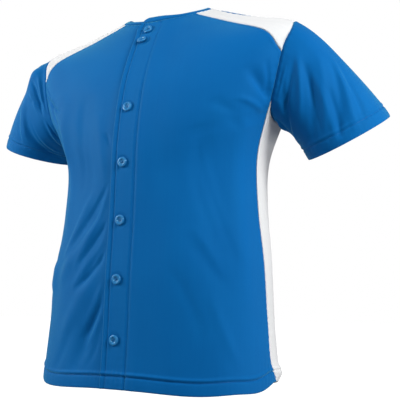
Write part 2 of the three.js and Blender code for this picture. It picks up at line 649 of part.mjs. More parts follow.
// A round button with a raised rim and a dished middle, turned about its own axis.
function buttonShape() {
  const { radius, thick, dishRadius, dish, edge } = BUTTON;
  const profile = [
    [0, 0], [radius - edge, 0], [radius, edge], [radius, thick - edge], [radius - edge, thick],
    [dishRadius + edge, thick], [dishRadius, thick - dish], [0, thick - dish],
  ];
  const points = profile.map(([out, up]) => new THREE.Vector2(out, up));
  return new THREE.LatheGeometry(points, BUTTON.sides);
}

function button(number, level) {
  const mesh = named(`button_${number}`, buttonShape(), bluePlastic());
  const { point, normal } = torsoPlace(0, level, TOP_LAYER + LAYER_GAP);
  mesh.position.copy(point);
  mesh.quaternion.setFromUnitVectors(new THREE.Vector3(0, 1, 0), normal);
  return mesh;
}

const jersey = new THREE.Group();
jersey.add(named('front_left', frontPanel(1), blueCloth()));
jersey.add(named('front_right', frontPanel(-1), blueCloth()));
const outerBand = bandPanel(PLACKET.freeX, PLACKET.seamX, topLayer, ['right', 'top']);
const underBand = bandPanel(UNDERLAP.seamX, UNDERLAP.endX, flat, ['left', 'top']);
jersey.add(named('placket_left', outerBand, blueCloth()));
jersey.add(named('placket_right', underBand, blueCloth()));
jersey.add(named('back', backPanel(), blueCloth()));
jersey.add(named('side_left', sidePanel(1), whiteCloth()));
jersey.add(named('side_right', sidePanel(-1), whiteCloth()));
jersey.add(named('yoke_left', yokePanel(1), whiteCloth()));
jersey.add(named('yoke_right', yokePanel(-1), whiteCloth()));
jersey.add(named('sleeve_left', sleevePanel(1), blueCloth()));
jersey.add(named('sleeve_right', sleevePanel(-1), blueCloth()));
jersey.add(named('neckband', neckband(), blueCloth()));

const walk = frontWalk();
const fromNeck = BUTTONS_FROM_NECK.map((distance) => walk.at(-1).distance - distance);
const distances = [...BUTTONS_FROM_HEM, ...fromNeck].reverse();
distances.forEach((distance, i) => {
  const { level } = walk.find((place) => place.distance >= distance);
  jersey.add(button(i + 1, level));
});

export default jersey;
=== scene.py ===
"""A full-button jersey, blue with white shoulder yokes and white side panels.

It is filled out as if worn, with nobody in it. All work is in mm, and meshes are written in metres.
"""

import bpy
import mathutils
import numpy as np
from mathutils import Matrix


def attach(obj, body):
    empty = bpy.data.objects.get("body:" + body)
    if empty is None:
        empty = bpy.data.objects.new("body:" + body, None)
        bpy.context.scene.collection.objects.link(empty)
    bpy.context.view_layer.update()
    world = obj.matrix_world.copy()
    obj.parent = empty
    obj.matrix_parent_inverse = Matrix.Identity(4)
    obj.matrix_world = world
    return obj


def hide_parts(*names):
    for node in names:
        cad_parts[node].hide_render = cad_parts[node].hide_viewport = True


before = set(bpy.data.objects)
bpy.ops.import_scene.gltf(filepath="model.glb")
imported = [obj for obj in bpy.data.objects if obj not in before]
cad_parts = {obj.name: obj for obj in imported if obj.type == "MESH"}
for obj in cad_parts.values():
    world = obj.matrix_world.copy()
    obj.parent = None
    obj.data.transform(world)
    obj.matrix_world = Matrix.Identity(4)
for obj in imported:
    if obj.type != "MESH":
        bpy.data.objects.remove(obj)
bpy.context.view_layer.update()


# The right front is one panel of smooth blue polyester knit, from the hem to the neckband.
# Its inner edge lies under the outer button band, and a side panel is sewn to its other edge.
# It comes first, so it also sets the form of the torso, the folds and how cloth is made here.

CLOTH = 1.3
HEM_WIDTH = 20.0
RINGS = np.array([
    # half, side y, side z, front y, front z, back y, back z, square, dip, sag
    [212, -3, -648.5, -152, -664.5, 146, -661, 2.25, 1.0, 8.5],
    [204, -3, -561, -148, -575, 146, -566, 2.2, 1.3, 0],
    [198, -2, -462, -147, -483, 144, -474, 2.1, 1.4, 0],
    [188, 3, -365, -143, -399, 146, -388, 2.05, 1.5, 0],
    [190, 8, -279, -142, -328, 147, -303, 2.0, 1.4, 0],
    [215, 10, -204, -141, -276, 143, -239, 2.05, 1.1, 0],
    [243, 7, -143, -135, -224, 131, -179, 2.1, 0.9, 0],
    [256, -3, -82, -122, -164, 113, -121, 2.1, 1.05, 0],
    [248, -9, -52, -103, -114, 96, -76, 2.05, 1.15, 0],
    [165, -8, -30, -80, -67, 78, -33, 1.95, 1.1, 0],
    [79, -5, 0, -60, -28, 60, 6, 1.9, 1.0, 0],
])
NECK_LEVEL = 10.0
NECKBAND_HEIGHT = 10.0
HEM_DROP = 10.0
HEM_DROP_ANGLE = 76.0
HEM_DROP_REACH = 15
HEM_DROP_TOP = 1.4

TORSO_FOLDS = np.array([
    # from angle, level, to angle, level, bow, reach, rise, skew
    [-11, 3.3, -32, 2.3, 0, 10, -4, 0],
    [-14, 3, -40, 1.9, 0, 14, 4, 0],
    [-9, 2.6, -20, 1.75, 0, 10, -3.5, 0],
    [-14, 1.9, -30, 0.9, 0, 16, 4, 0],
    [-6, 1.65, -19, 0.4, 0, 12, -5, 0],
    [-38, 6.6, -44, 3, 0, 16, 4, 0],
    [-20, 6.6, -23, 3.6, 0, 14, -3, 0],
    [34, 5.2, 58, 2.6, 0, 16, -3.5, 0],
    [58, 5.3, 70, 1.5, 0, 26, 5, 0],
    [37, 6.05, 56, 5, 0, 10, -3, 0],
    [50, 6.7, 67, 5.75, 0, 10, -4, 0],
    [36, 2.5, 54, 1.65, 0, 12, -3, 0],
    [150, 6.4, 155, 1.8, 0, 18, 5, 0],
    [176, 5.8, 182, 1.6, 0, 22, -5, 0],
    [209, 6.6, 202, 2.2, 0, 18, 5, 0],
    [127, 6, 146, 4.5, 0, 12, -4, 0],
    [233, 6, 216, 4.3, 0, 12, -4, 0],
    [168, 1.5, 152, 0.2, 0, 16, -4, 0],
    [190, 1.7, 203, 0.3, 0, 15, -4, 0],
])
TORSO_CREASES = np.array([
    # the same columns, for the finer creases
    [-20, 3.6, -40, 2.3, 4, 7, 2.2, 0],
    [-9, 3.8, -33, 2.5, 5, 6, -2.8, 0.2],
    [-8, 3.6, -27, 2.1, 4, 6, 2, 0],
    [-7, 3.05, -24, 2.15, 3, 5, -2.4, 0.2],
    [-7, 2.7, -27, 1.75, 3, 6, 2, 0],
    [-6, 2.45, -24, 1.7, 5, 5, -3.2, 0.3],
    [-6, 1.85, -15, 1.1, 0, 5.5, 2, 0],
    [-5, 1.65, -17, 0.85, 3, 5.5, -3, 0.3],
    [-5, 1.4, -14, 0.7, 2, 5, 1.8, 0],
    [-5, 1.1, -12, 0.4, 2, 5, -1.6, 0],
    [-24, 1.1, -36, 0.3, 3, 9, -1.5, 0],
    [-56, 2.1, -60, 1.55, 0, 26, 5.5, 0],
    [-33, 6.5, -46, 4.2, 3, 9, 2.4, 0],
    [-63, 6.6, -40, 6.2, -3, 4.5, -3.2, 0.3],
    [-62, 6.85, -46, 6.5, -3, 5, 2, 0],
    [-22, 6.5, -29, 3.7, 0, 7, -1.8, 0],
    [-13, 6.1, -12, 4, 0, 8, 1.8, 0],
    [-9, 5.45, -6, 4.95, 0, 4, -2, 0],
    [-47, 5.4, -52, 3.4, 4, 9, -1.8, 0],
    [-52, 6.6, -44, 5.7, -5, 6, -2, 0],
    [38, 4.9, 64, 2.2, -6, 13, 2.4, 0.4],
    [35, 4.5, 52, 2.3, -8, 11, -1.4, 0],
    [38, 2.7, 52, 1.9, 0, 7, 1.2, 0],
    [37, 2.45, 54, 1.62, 0, 11, 1.5, 0],
    [40, 5.8, 60, 4.9, 0, 9, 2, 0],
    [59, 6.75, 66, 5.8, 0, 5, -2.4, 0],
    [52, 6.5, 68, 5.6, 0, 6, -2.8, 0.2],
    [48, 6, 66, 5.3, 3, 6, 2.6, 0],
    [26, 2, 40, 0.9, 4, 9, -1.4, 0],
    [46, 1.5, 60, 0.5, -4, 9, 1.5, 0],
    [140, 5.2, 163, 4.4, 6, 8, -2.6, 0.2],
    [222, 5.4, 198, 4.5, -6, 8, -2.6, 0.2],
    [135, 3.6, 150, 2.6, 5, 9, 2.2, 0],
    [226, 3.4, 212, 2.3, -5, 9, 2.2, 0],
    [160, 3.2, 176, 2.4, 6, 9, -2.2, 0.2],
    [192, 2.9, 178, 2, 5, 8, 2, 0],
    [146, 1.8, 158, 0.9, 3, 8, -1.8, 0],
    [121, 5.6, 132, 4.8, 3, 7, -2.2, 0],
    [239, 5.7, 228, 4.9, -3, 7, -2.2, 0],
    [166, 7.6, 178, 7, 4, 10, -1.5, 0],
])

# mm of cloth for one degree and for one level, where folds are measured
TORSO_SCALE = (3.2, 90)

PLACKET_FREE_X = -22.0
PLACKET_SEAM_X = 23.0
UNDERLAP_X = 17.0
# above this level the edges at the opening keep their angle
OPENING_TOP = 9.55
# the rows of points stand closer below the first of these levels and above the second
HEM_ROWS, NECK_ROWS = 0.35, 9.75

# seams are rows of level and angle, and side 1 is the wearer's left
SIDE_FRONT_SEAM = np.array([[0, 93.5], [0.22, 90.3], [1, 88.6], [2, 87], [4, 79], [5.575, 70.95]])
YOKE_FRONT_SEAMS = {
    1: np.array([[6.86, 69.08], [7.2, 64.5], [7.6, 61], [8.25, 59], [9, 58], [10, 54.5]]),
    -1: np.array([[6.86, 69.08], [7.2, 61.5], [7.6, 57], [8.25, 54], [9, 51], [10, 47]]),
}
# the armhole is an oval: half widths in degrees, then the levels of its middle and its ends
ARMHOLE_FRONT, ARMHOLE_BACK = 22.0, 34.0
ARMHOLE_MIDDLE, ARMHOLE_BOTTOM, ARMHOLE_TOP = 6.35, 4.8, 8.0
SIDE_CORNER = 5.575
YOKE_CORNER = 6.86

BLUE = (0.0012, 0.093, 0.315)
BLUE_LIT = (0.0024, 0.12, 0.366)
BLUE_SHEEN = (0.28, 1.0, 0.8)
# in metres, as the UV map is
RIB_PITCH = 0.0011
ROW_PITCH = 0.0009


def ease(value, low, high):
    """A smooth step: t squared times (3 minus 2 t), with t from 0 at low to 1 at high."""
    t = np.clip((value - low) / (high - low), 0, 1)
    return t * t * (3 - 2 * t)


def bell(distance, reach):
    """A bell curve: e to the minus (distance over reach) squared."""
    return np.exp(-(distance / reach) ** 2)


def table_curve(table, place):
    """Rows of a table at places between them, on a Catmull-Rom curve. The ends run on straight."""
    padded = np.vstack([2 * table[0] - table[1], table, 2 * table[-1] - table[-2]])
    low = np.clip(np.floor(place).astype(int), 0, len(table) - 2)
    t = (place - low)[..., None]
    a, b, c, d = (padded[low + k] for k in range(4))
    square = 2 * a - 5 * b + 4 * c - d
    cube = 3 * b - a - 3 * c + d
    return 0.5 * (2 * b + (c - a) * t + square * t ** 2 + cube * t ** 3)


def torso_form(angle, level):
    """Points of the smooth torso. Angle 0 is the middle of the front, 90 the wearer's left side.

    Each ring is a rounded box: x is half times the sine to the power 2 over square, and y and z
    go from the side's values to the front's or back's with powers of the cosine. Sag lowers the
    ring by the square of the sine of twice the angle. The hem drops on a bell curve at the left.
    """
    ring = table_curve(RINGS, level)
    half, side_y, side_z, front_y, front_z, back_y, back_z, square, dip, sag = np.moveaxis(ring, -1, 0)
    sine, cosine = np.sin(np.radians(angle)), np.cos(np.radians(angle))
    end_y = np.where(cosine > 0, front_y, back_y)
    end_z = np.where(cosine > 0, front_z, back_z)
    x = half * np.sign(sine) * np.abs(sine) ** (2 / square)
    y = side_y + (end_y - side_y) * np.abs(cosine) ** (2 / square)
    z = side_z + (end_z - side_z) * np.abs(cosine) ** dip - sag * (2 * sine * cosine) ** 2
    from_drop = (angle + 180) % 360 - 180 - HEM_DROP_ANGLE
    z = z - HEM_DROP * bell(from_drop, HEM_DROP_REACH) * (1 - ease(level, 0, HEM_DROP_TOP))
    return np.stack([x, y, z], -1)


def unit(vectors):
    """Vectors divided by their lengths."""
    return vectors / np.maximum(np.linalg.norm(vectors, axis=-1, keepdims=True), 1e-9)


def torso_outward(angle, level):
    """Outward directions of the smooth torso: the cross product of its slopes round and up."""
    low, high = np.maximum(level - 0.02, 0), np.minimum(level + 0.02, NECK_LEVEL)
    around = torso_form(angle + 0.4, level) - torso_form(angle - 0.4, level)
    up = torso_form(angle, high) - torso_form(angle, low)
    return unit(np.cross(around, up))


def fold_height(folds, across, up, scale):
    """Height in mm that the folds give at places (across, up), in degrees or turns and levels.

    A fold is a bell curve beside a line that bows sideways, and fades beyond both its ends.
    Skew makes one flank steeper than the other. scale turns the two coordinates into mm.
    """
    height = np.zeros_like(across)
    for start_a, start_u, end_a, end_u, bow, reach, rise, skew in folds:
        place_a = ((across - start_a + 540) % 360 - 180) * scale[0]
        place_u = (up - start_u) * scale[1]
        run = np.array([(end_a - start_a) * scale[0], (end_u - start_u) * scale[1]])
        length = np.hypot(*run)
        along = run / length
        part = (place_a * along[0] + place_u * along[1]) / length
        side = place_u * along[0] - place_a * along[1]
        held = np.clip(part, 0, 1)
        side = side - bow * 4 * held * (1 - held)
        beyond = (part - held) * length
        flank = reach * (1 + skew * np.tanh(side / reach))
        fade = ease(held, -0.25, 0.3) * (1 - ease(held, 0.7, 1.25))
        height = height + rise * fade * bell(np.hypot(side, beyond), flank)
    return height


def torso_folds(angle, level):
    """All folds of the torso, kept off the button bands and the neck, with faint wide waves."""
    large = fold_height(TORSO_FOLDS, angle, level, TORSO_SCALE)
    fine = fold_height(TORSO_CREASES, angle, level, TORSO_SCALE)
    turn = np.radians(angle)
    waves = 0.5 * np.sin(5 * turn + 1.9 * level) + 0.35 * np.sin(9 * turn - 1.3 * level + 1.2)
    waves = waves + 0.25 * np.sin(14 * turn + 2.7 * level + 0.4)
    fine = fine + waves * (1 - ease(level, 7.5, 9))
    from_middle = np.abs(torso_form(angle, level)[..., 0])
    in_front = np.cos(turn) > 0
    large = large * np.where(in_front, ease(from_middle, 24, 60), 1.0)
    fine = fine * np.where(in_front, ease(from_middle, 23, 38), 1.0)
    return (large + fine) * (1 - ease(level, 8.6, 9.8))


def torso_cloth(angle, level, lift=0.0):
    """Outer points of the torso's cloth and their outward directions: form plus folds plus lift."""
    outward = torso_outward(angle, level)
    height = torso_folds(angle, level) + lift
    return torso_form(angle, level) + outward * height[..., None], outward


def front_angle(x, level):
    """The angle at which a ring of the front passes x: the torso's x formula, solved for it."""
    ring = table_curve(RINGS, level)
    half, square = ring[..., 0], ring[..., 7]
    sine = (np.abs(x) / half) ** (square / 2)
    return np.sign(x) * np.degrees(np.arcsin(np.clip(sine, 0, 1)))


def under_neckband(level, angle):
    """Levels above 9 drawn down so that level 10 falls on the neckband's seam."""
    edge = torso_form(angle, np.full_like(angle, NECK_LEVEL))
    below = torso_form(angle, np.full_like(angle, NECK_LEVEL - 0.1))
    drop = 0.1 * NECKBAND_HEIGHT / np.linalg.norm(edge - below, axis=-1)
    level = level + 0 * angle
    return np.where(level > 9, 9 + (level - 9) * (1 - drop), level)


def seam_angle(seam, level):
    """Angle of a seam at a level: a cubic between the rows of its table, with even slopes."""
    slopes = np.gradient(seam[:, 1], seam[:, 0])
    low = np.clip(np.searchsorted(seam[:, 0], level, side="right") - 1, 0, len(seam) - 2)
    width = seam[low + 1, 0] - seam[low, 0]
    t = np.clip((level - seam[low, 0]) / width, 0, 1)
    start, end = seam[low, 1], seam[low + 1, 1]
    rise = slopes[low] * width * (t ** 3 - 2 * t ** 2 + t) + slopes[low + 1] * width * (t ** 3 - t ** 2)
    return start * (2 * t ** 3 - 3 * t ** 2 + 1) + end * (3 * t ** 2 - 2 * t ** 3) + rise


def armhole_angle(level, width):
    """Angle of the armhole's oval at a level, on its front (minus) or its back (plus)."""
    upper, lower = ARMHOLE_TOP - ARMHOLE_MIDDLE, ARMHOLE_MIDDLE - ARMHOLE_BOTTOM
    height = np.where(level > ARMHOLE_MIDDLE, upper, lower)
    return 90 + width * np.sqrt(np.clip(1 - ((level - ARMHOLE_MIDDLE) / height) ** 2, 0, 1))


def armhole_level(angle, upper):
    """Level of the armhole's oval at an angle, on its upper or its lower half."""
    width = np.where(angle < 90, ARMHOLE_FRONT, ARMHOLE_BACK)
    height = ARMHOLE_TOP - ARMHOLE_MIDDLE if upper else ARMHOLE_BOTTOM - ARMHOLE_MIDDLE
    return ARMHOLE_MIDDLE + height * np.sqrt(np.clip(1 - ((angle - 90) / width) ** 2, 0, 1))


def rows_between(*stops):
    """Row values through the stops, each given as (value, rows up to it)."""
    parts = [np.linspace(a[0], b[0], b[1], endpoint=False) for a, b in zip(stops, stops[1:])]
    return np.concatenate(parts + [[stops[-1][0]]])


def spread(count, ends=0.7):
    """Places from 0 to 1 that stand closer at both ends: t minus ends over 2 pi times sin 2 pi t."""
    t = np.linspace(0, 1, count)
    return t - ends * np.sin(2 * np.pi * t) / (2 * np.pi)


def run_length(points, axis):
    """Length in mm gone along the rows or the columns of a grid, added up from point to point."""
    step = np.linalg.norm(np.diff(points, axis=axis), axis=-1)
    start = np.zeros_like(np.take(step, [0], axis))
    return np.concatenate([start, np.cumsum(step, axis)], axis)


def pucker(run, distance, height=0.35, length=11.0):
    """Small gathers beside a seam: an uneven sine along it, which dies out away from it."""
    phase = run / length + 0.35 * np.sin(run / (1.7 * length)) + 0.6 * np.sin(run / (5.1 * length))
    return height * np.sin(2 * np.pi * phase) * np.exp(-distance / 9) * ease(distance, 0, 3)


def seam_relief(run, distance):
    """A sewn edge: the cloth turns in at the seam, stands a little proud beside it, and gathers."""
    return -1.3 * bell(distance, 1.5) + 0.45 * bell(distance - 4.5, 2.5) + pucker(run, distance)


def hem_relief(run, distance):
    """A turned-up hem: round edge, proud band, stitched groove, and a roll of cloth above it."""
    above = distance - HEM_WIDTH
    band = 0.5 * (1 - ease(above, -1.5, 1)) + 0.35 * np.sin(np.pi * np.clip(distance / HEM_WIDTH, 0, 1))
    groove = -1.4 * bell(above, 1.6)
    roll = 1.7 * bell(above - 4.2, 2.6)
    gathers = pucker(run, np.abs(above), 0.4, 9.0)
    return band + groove + roll + gathers - 0.7 * bell(distance, 1.2)


def cloth_normals(points, outward, closed=False):
    """Outward directions of a grid from its own slopes, turned to the side of outward."""
    if closed:
        points = np.concatenate([points[:, -1:], points, points[:, :1]], 1)
    normals = np.cross(np.gradient(points, axis=1), np.gradient(points, axis=0))
    normals = normals[:, 1:-1] if closed else normals
    return unit(normals * np.sign((normals * outward).sum(-1, keepdims=True)))


def new_piece(name, points, faces):
    """A mesh object from points in mm and a list of faces, linked to the scene."""
    mesh = bpy.data.meshes.new(name)
    mesh.from_pydata((points / 1000).tolist(), [], faces)
    mesh.update()
    piece = bpy.data.objects.new(name, mesh)
    bpy.context.scene.collection.objects.link(piece)
    return piece


def cloth_object(name, points, normals, across, up, thick=CLOTH, closed=False):
    """A cloth wall from a grid of outer points: the grid, the same set back by its thickness, and rims.

    across and up are flat places in mm, and become the UV map, in metres.
    """
    rows, columns = points.shape[:2]
    index = np.arange(rows * columns).reshape(rows, columns)
    if closed:
        index = np.concatenate([index, index[:, :1]], 1)
    inner = index + rows * columns
    a, b, c, d = index[:-1, :-1], index[:-1, 1:], index[1:, 1:], index[1:, :-1]
    corner = points.reshape(-1, 3)
    middle = (a.shape[0] // 2, a.shape[1] // 2)
    facing = np.cross(corner[b[middle]] - corner[a[middle]], corner[d[middle]] - corner[a[middle]])
    flip = (facing * normals[middle]).sum() < 0
    sheets = [np.stack([a, b, c, d], -1), np.stack([a, d, c, b], -1) + rows * columns]
    rims = [
        np.stack([index[0, :-1], inner[0, :-1], inner[0, 1:], index[0, 1:]], -1),
        np.stack([index[-1, 1:], inner[-1, 1:], inner[-1, :-1], index[-1, :-1]], -1),
    ]
    if not closed:
        rims.append(np.stack([index[1:, 0], inner[1:, 0], inner[:-1, 0], index[:-1, 0]], -1))
        rims.append(np.stack([index[:-1, -1], inner[:-1, -1], inner[1:, -1], index[1:, -1]], -1))
    faces = np.concatenate([part.reshape(-1, 4) for part in sheets + rims])
    if flip:
        faces = faces[:, ::-1]
    inside = points - normals * thick
    piece = new_piece(name, np.concatenate([corner, inside.reshape(-1, 3)]), faces.tolist())
    flat = np.stack([across, up], -1).reshape(-1, 2) / 1000
    layer = piece.data.uv_layers.new(name="cloth")
    layer.data.foreach_set("uv", np.concatenate([flat, flat])[faces.ravel()].ravel())
    piece.data.polygons.foreach_set("use_smooth", np.ones(len(faces), bool))
    piece.data.update()
    return piece


def new_material(name):
    """A material with its node tree and its shader."""
    material = bpy.data.materials.new(name)
    material.use_nodes = True
    return material, material.node_tree, material.node_tree.nodes["Principled BSDF"]


def add_math(tree, operation, first, second=0.0, third=0.0):
    """A Math node. Each input is a socket or a number."""
    node = tree.nodes.new("ShaderNodeMath")
    node.operation = operation
    for socket, value in zip(node.inputs, (first, second, third)):
        if isinstance(value, bpy.types.NodeSocket):
            tree.links.new(value, socket)
        else:
            socket.default_value = value
    return node.outputs[0]


def add_noise(tree, vector, scale, detail=2.0, distortion=0.0):
    """Grey noise at a vector."""
    noise = tree.nodes.new("ShaderNodeTexNoise")
    noise.inputs["Scale"].default_value = scale
    noise.inputs["Detail"].default_value = detail
    noise.inputs["Distortion"].default_value = distortion
    tree.links.new(vector, noise.inputs["Vector"])
    return noise.outputs["Fac"]


def add_mix(tree, factor, first, second, blend="MIX"):
    """A colour made of two, each a socket or three numbers."""
    mix = tree.nodes.new("ShaderNodeMix")
    mix.data_type = "RGBA"
    mix.blend_type = blend
    tree.links.new(factor, mix.inputs["Factor"])
    for socket, colour in zip((mix.inputs["A"], mix.inputs["B"]), (first, second)):
        if isinstance(colour, bpy.types.NodeSocket):
            tree.links.new(colour, socket)
        else:
            socket.default_value = (*colour, 1)
    return mix.outputs["Result"]


def link_surface(tree, shader, colour, roughness, height, strength, depth):
    """Gives the shader its colour, its roughness, and a bump of a depth in metres."""
    tree.links.new(colour, shader.inputs["Base Color"])
    tree.links.new(roughness, shader.inputs["Roughness"])
    bump = tree.nodes.new("ShaderNodeBump")
    bump.inputs["Strength"].default_value = strength
    bump.inputs["Distance"].default_value = depth
    tree.links.new(height, bump.inputs["Height"])
    tree.links.new(bump.outputs["Normal"], shader.inputs["Normal"])


def knit_material(name, colour, lit, sheen, roughness=0.62):
    """Smooth polyester interlock: fine ribs and rows, a soft sheen, streaks and faint uneven dye, and
    painted shade that darkens the colour where the ribs and rows are low.
    """
    material, tree, shader = new_material(name)
    shader.inputs["Sheen Weight"].default_value = 0.3
    shader.inputs["Sheen Roughness"].default_value = 0.35
    shader.inputs["Sheen Tint"].default_value = (*sheen, 1)
    shader.inputs["Specular IOR Level"].default_value = 0.08
    shader.inputs["Specular Tint"].default_value = (*sheen, 1)
    place = tree.nodes.new("ShaderNodeTexCoord").outputs["Object"]
    cloth = tree.nodes.new("ShaderNodeUVMap")
    cloth.uv_map = "cloth"
    split = tree.nodes.new("ShaderNodeSeparateXYZ")
    tree.links.new(cloth.outputs["UV"], split.inputs[0])
    ribs = add_math(tree, "MULTIPLY", split.outputs["X"], 2 * np.pi / RIB_PITCH)
    ribs = add_math(tree, "SINE", ribs)
    rows = add_math(tree, "MULTIPLY", split.outputs["Y"], 2 * np.pi / ROW_PITCH)
    rows = add_math(tree, "SINE", rows)
    weave = add_math(tree, "MULTIPLY_ADD", ribs, rows, ribs)

    stretch = tree.nodes.new("ShaderNodeVectorMath")
    stretch.operation = "MULTIPLY"
    stretch.inputs[1].default_value = (260, 7, 1)
    tree.links.new(cloth.outputs["UV"], stretch.inputs[0])
    streaks = add_noise(tree, stretch.outputs[0], 1.0)
    # painted shade: the colour is a little darker where the weave's bump is low, as shade in the knit's
    # grooves, added to the random streaks
    groove_shade = add_math(tree, "MULTIPLY", weave, -0.12)
    uneven = add_math(tree, "MULTIPLY_ADD", streaks, 0.7, groove_shade)
    dyed = add_mix(tree, add_noise(tree, place, 9.0, 4.0), colour, lit)
    # dyed from here holds the dye, the streaks and the painted groove shade
    dyed = add_mix(tree, uneven, dyed, (0.82, 0.86, 0.9), "MULTIPLY")

    fuzz = add_noise(tree, place, 900.0)
    rough = add_math(tree, "MULTIPLY_ADD", fuzz, 0.14, roughness - 0.07)
    height = add_math(tree, "MULTIPLY_ADD", fuzz, 0.6, weave)
    link_surface(tree, shader, dyed, rough, height, 0.25, 0.0001)
    return material


def line_at(points, normals, distance, at):
    """Where each column of a grid passes a distance: straight between the two rows beside it."""
    row = np.clip((distance < at).sum(0) - 1, 0, len(points) - 2)
    column = np.arange(points.shape[1])
    low, high = distance[row, column], distance[row + 1, column]
    share = ((at - low) / (high - low))[:, None]
    place = points[row, column] * (1 - share) + points[row + 1, column] * share
    return place, normals[row, column]


def sewn_piece(name, points, outward, relief, flat, material, hem_lines=None, thick=CLOTH):
    """A cloth wall with its relief and material. The line of its hem's stitches joins hem_lines."""
    points = points + outward * relief[..., None]
    normals = cloth_normals(points, outward)
    piece = cloth_object(name, points, normals, *flat, thick)
    piece.data.materials.append(material)
    if hem_lines is not None:
        hem_lines.append(line_at(points, normals, flat[1], HEM_WIDTH))
    return piece


def stitching(name, lines, material, pitch=3.2, length=2.5, width=0.5):
    """Rows of stitches: six-sided grains, one each pitch along every line, half sunk in the cloth."""
    centres, alongs, outs = [], [], []
    for points, normals in lines:
        run = run_length(points[:, None], 0)[:, 0]
        at = np.arange(pitch, run[-1] - pitch / 2, pitch)
        place = np.stack([np.interp(at, run, points[:, k]) for k in range(3)], -1)
        ahead = np.stack([np.interp(at + 1, run, points[:, k]) for k in range(3)], -1)
        centres.append(place)
        alongs.append(unit(ahead - place))
        outs.append(unit(np.stack([np.interp(at, run, normals[:, k]) for k in range(3)], -1)))
    centre, along, out = (np.concatenate(part)[:, None] for part in (centres, alongs, outs))
    side = np.cross(along, out)
    turn = np.arange(6) * np.pi / 3
    ring = np.stack([np.cos(turn), np.sin(turn)], -1) * width / 2
    grain = []
    for share, size in ((-0.5, 0.35), (-0.3, 1.0), (0.3, 1.0), (0.5, 0.35)):
        section = side * ring[:, :1] * size + out * (ring[:, 1:] * size + 0.08)
        grain.append(centre + along * length * share + section)
    vertices = np.stack(grain, 1).reshape(-1, 3)
    first = np.arange(6)
    second = np.roll(first, -1)
    wall = np.stack([second, first, first + 6, second + 6], -1)
    walls = [wall + 6 * k for k in range(3)]
    ends = [np.array([[2, 3, 4, 5], [0, 1, 2, 5]]), np.array([[21, 20, 19, 18], [23, 22, 21, 18]])]
    faces = np.concatenate(walls + ends)
    faces = (faces[None] + 24 * np.arange(len(centre))[:, None, None]).reshape(-1, 4)
    thread = new_piece(name, vertices, faces.tolist())
    thread.data.materials.append(material)
    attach(thread, "root")
    return thread


def thread_material(name, colour):
    """Glossy twisted polyester thread: fine noise for its plies and uneven dye, in its colour, roughness
    and bump.
    """
    material, tree, shader = new_material(name)
    shader.inputs["Sheen Weight"].default_value = 0.1
    shader.inputs["Sheen Tint"].default_value = (*colour, 1)
    shader.inputs["Specular IOR Level"].default_value = 0.2
    place = tree.nodes.new("ShaderNodeTexCoord").outputs["Object"]
    plies = add_noise(tree, place, 2500.0)
    dyed = add_mix(tree, plies, 0.75 * np.array(colour), 1.2 * np.array(colour))
    rough = add_math(tree, "MULTIPLY_ADD", plies, 0.2, 0.35)
    link_surface(tree, shader, dyed, rough, plies, 0.4, 0.0002)
    return material


blue_knit = knit_material("blue_knit", BLUE, BLUE_LIT, BLUE_SHEEN)
blue_thread = thread_material("blue_thread", (0.003, 0.1, 0.34))
blue_lines = []

FRONT_LEVELS = rows_between(
    (0, 0), (HEM_ROWS, 34), (SIDE_CORNER, 170), (YOKE_CORNER, 44), (NECK_ROWS, 62), (NECK_LEVEL, 10))
FRONT_SIDES = {
    side: np.where(
        FRONT_LEVELS < SIDE_CORNER, seam_angle(SIDE_FRONT_SEAM, FRONT_LEVELS),
        np.where(FRONT_LEVELS < YOKE_CORNER, armhole_angle(FRONT_LEVELS, -ARMHOLE_FRONT),
                 seam_angle(yoke_seam, FRONT_LEVELS)))
    for side, yoke_seam in YOKE_FRONT_SEAMS.items()
}


def front_grid(inner_x, side):
    """Angles and levels of a front: from x at the opening to the side seam, armhole and yoke."""
    inner = front_angle(inner_x * side, np.minimum(FRONT_LEVELS, OPENING_TOP))
    share = spread(100)[None]
    angle = inner[:, None] * (1 - share) + side * FRONT_SIDES[side][:, None] * share
    return angle, under_neckband(FRONT_LEVELS[:, None], angle)


angle, level = front_grid(UNDERLAP_X, -1)
points, outward = torso_cloth(angle, level)
across, up = run_length(points, 1), run_length(points, 0)
to_side, to_neck = across[:, -1:] - across, up[-1:] - up
relief = hem_relief(across, up) + seam_relief(up, to_side) + seam_relief(across, to_neck)
front_right = sewn_piece("right_front", points, outward, relief, (across, up), blue_knit, blue_lines)
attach(front_right, "root")
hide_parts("front_right")


# The button band of the right front is a narrow strip of the same knit, folded double and sewn
# to its edge. It carries the buttons and lies under the outer band, so only its end shows.

BAND_LEVELS = rows_between((0, 0), (HEM_ROWS, 20), (NECK_ROWS, 150), (NECK_LEVEL, 8))
band_x = np.linspace(-UNDERLAP_X, UNDERLAP_X, 12)[None]
angle = front_angle(band_x, np.minimum(BAND_LEVELS, OPENING_TOP)[:, None])
level = under_neckband(BAND_LEVELS[:, None], angle)
points, outward = torso_cloth(angle, level)
across, up = run_length(points, 1), run_length(points, 0)
relief = 0.4 * hem_relief(across, up) + seam_relief(up, across) * 0.3
under_band = sewn_piece("under_band", points, outward, relief, (across, up), blue_knit, thick=1.6)
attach(under_band, "root")
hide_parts("placket_right")


# The left front is cut like the right one, but it lies one layer higher beside the opening,
# where it covers the right front's band. The outer button band is sewn to its edge.

BAND_LIFT = 2.1
LIFT_END_X = 62.0


def left_front_lift(angle, level):
    """Height of the left front over the form: one layer at the band, easing to none beside it."""
    return BAND_LIFT * (1 - ease(torso_form(angle, level)[..., 0], PLACKET_SEAM_X + 3, LIFT_END_X))


def seam_fade(up):
    """Depth of the placket's seam: one up to the chest, then less towards the neck."""
    return 1 - 0.8 * ease(up, 440, 600)


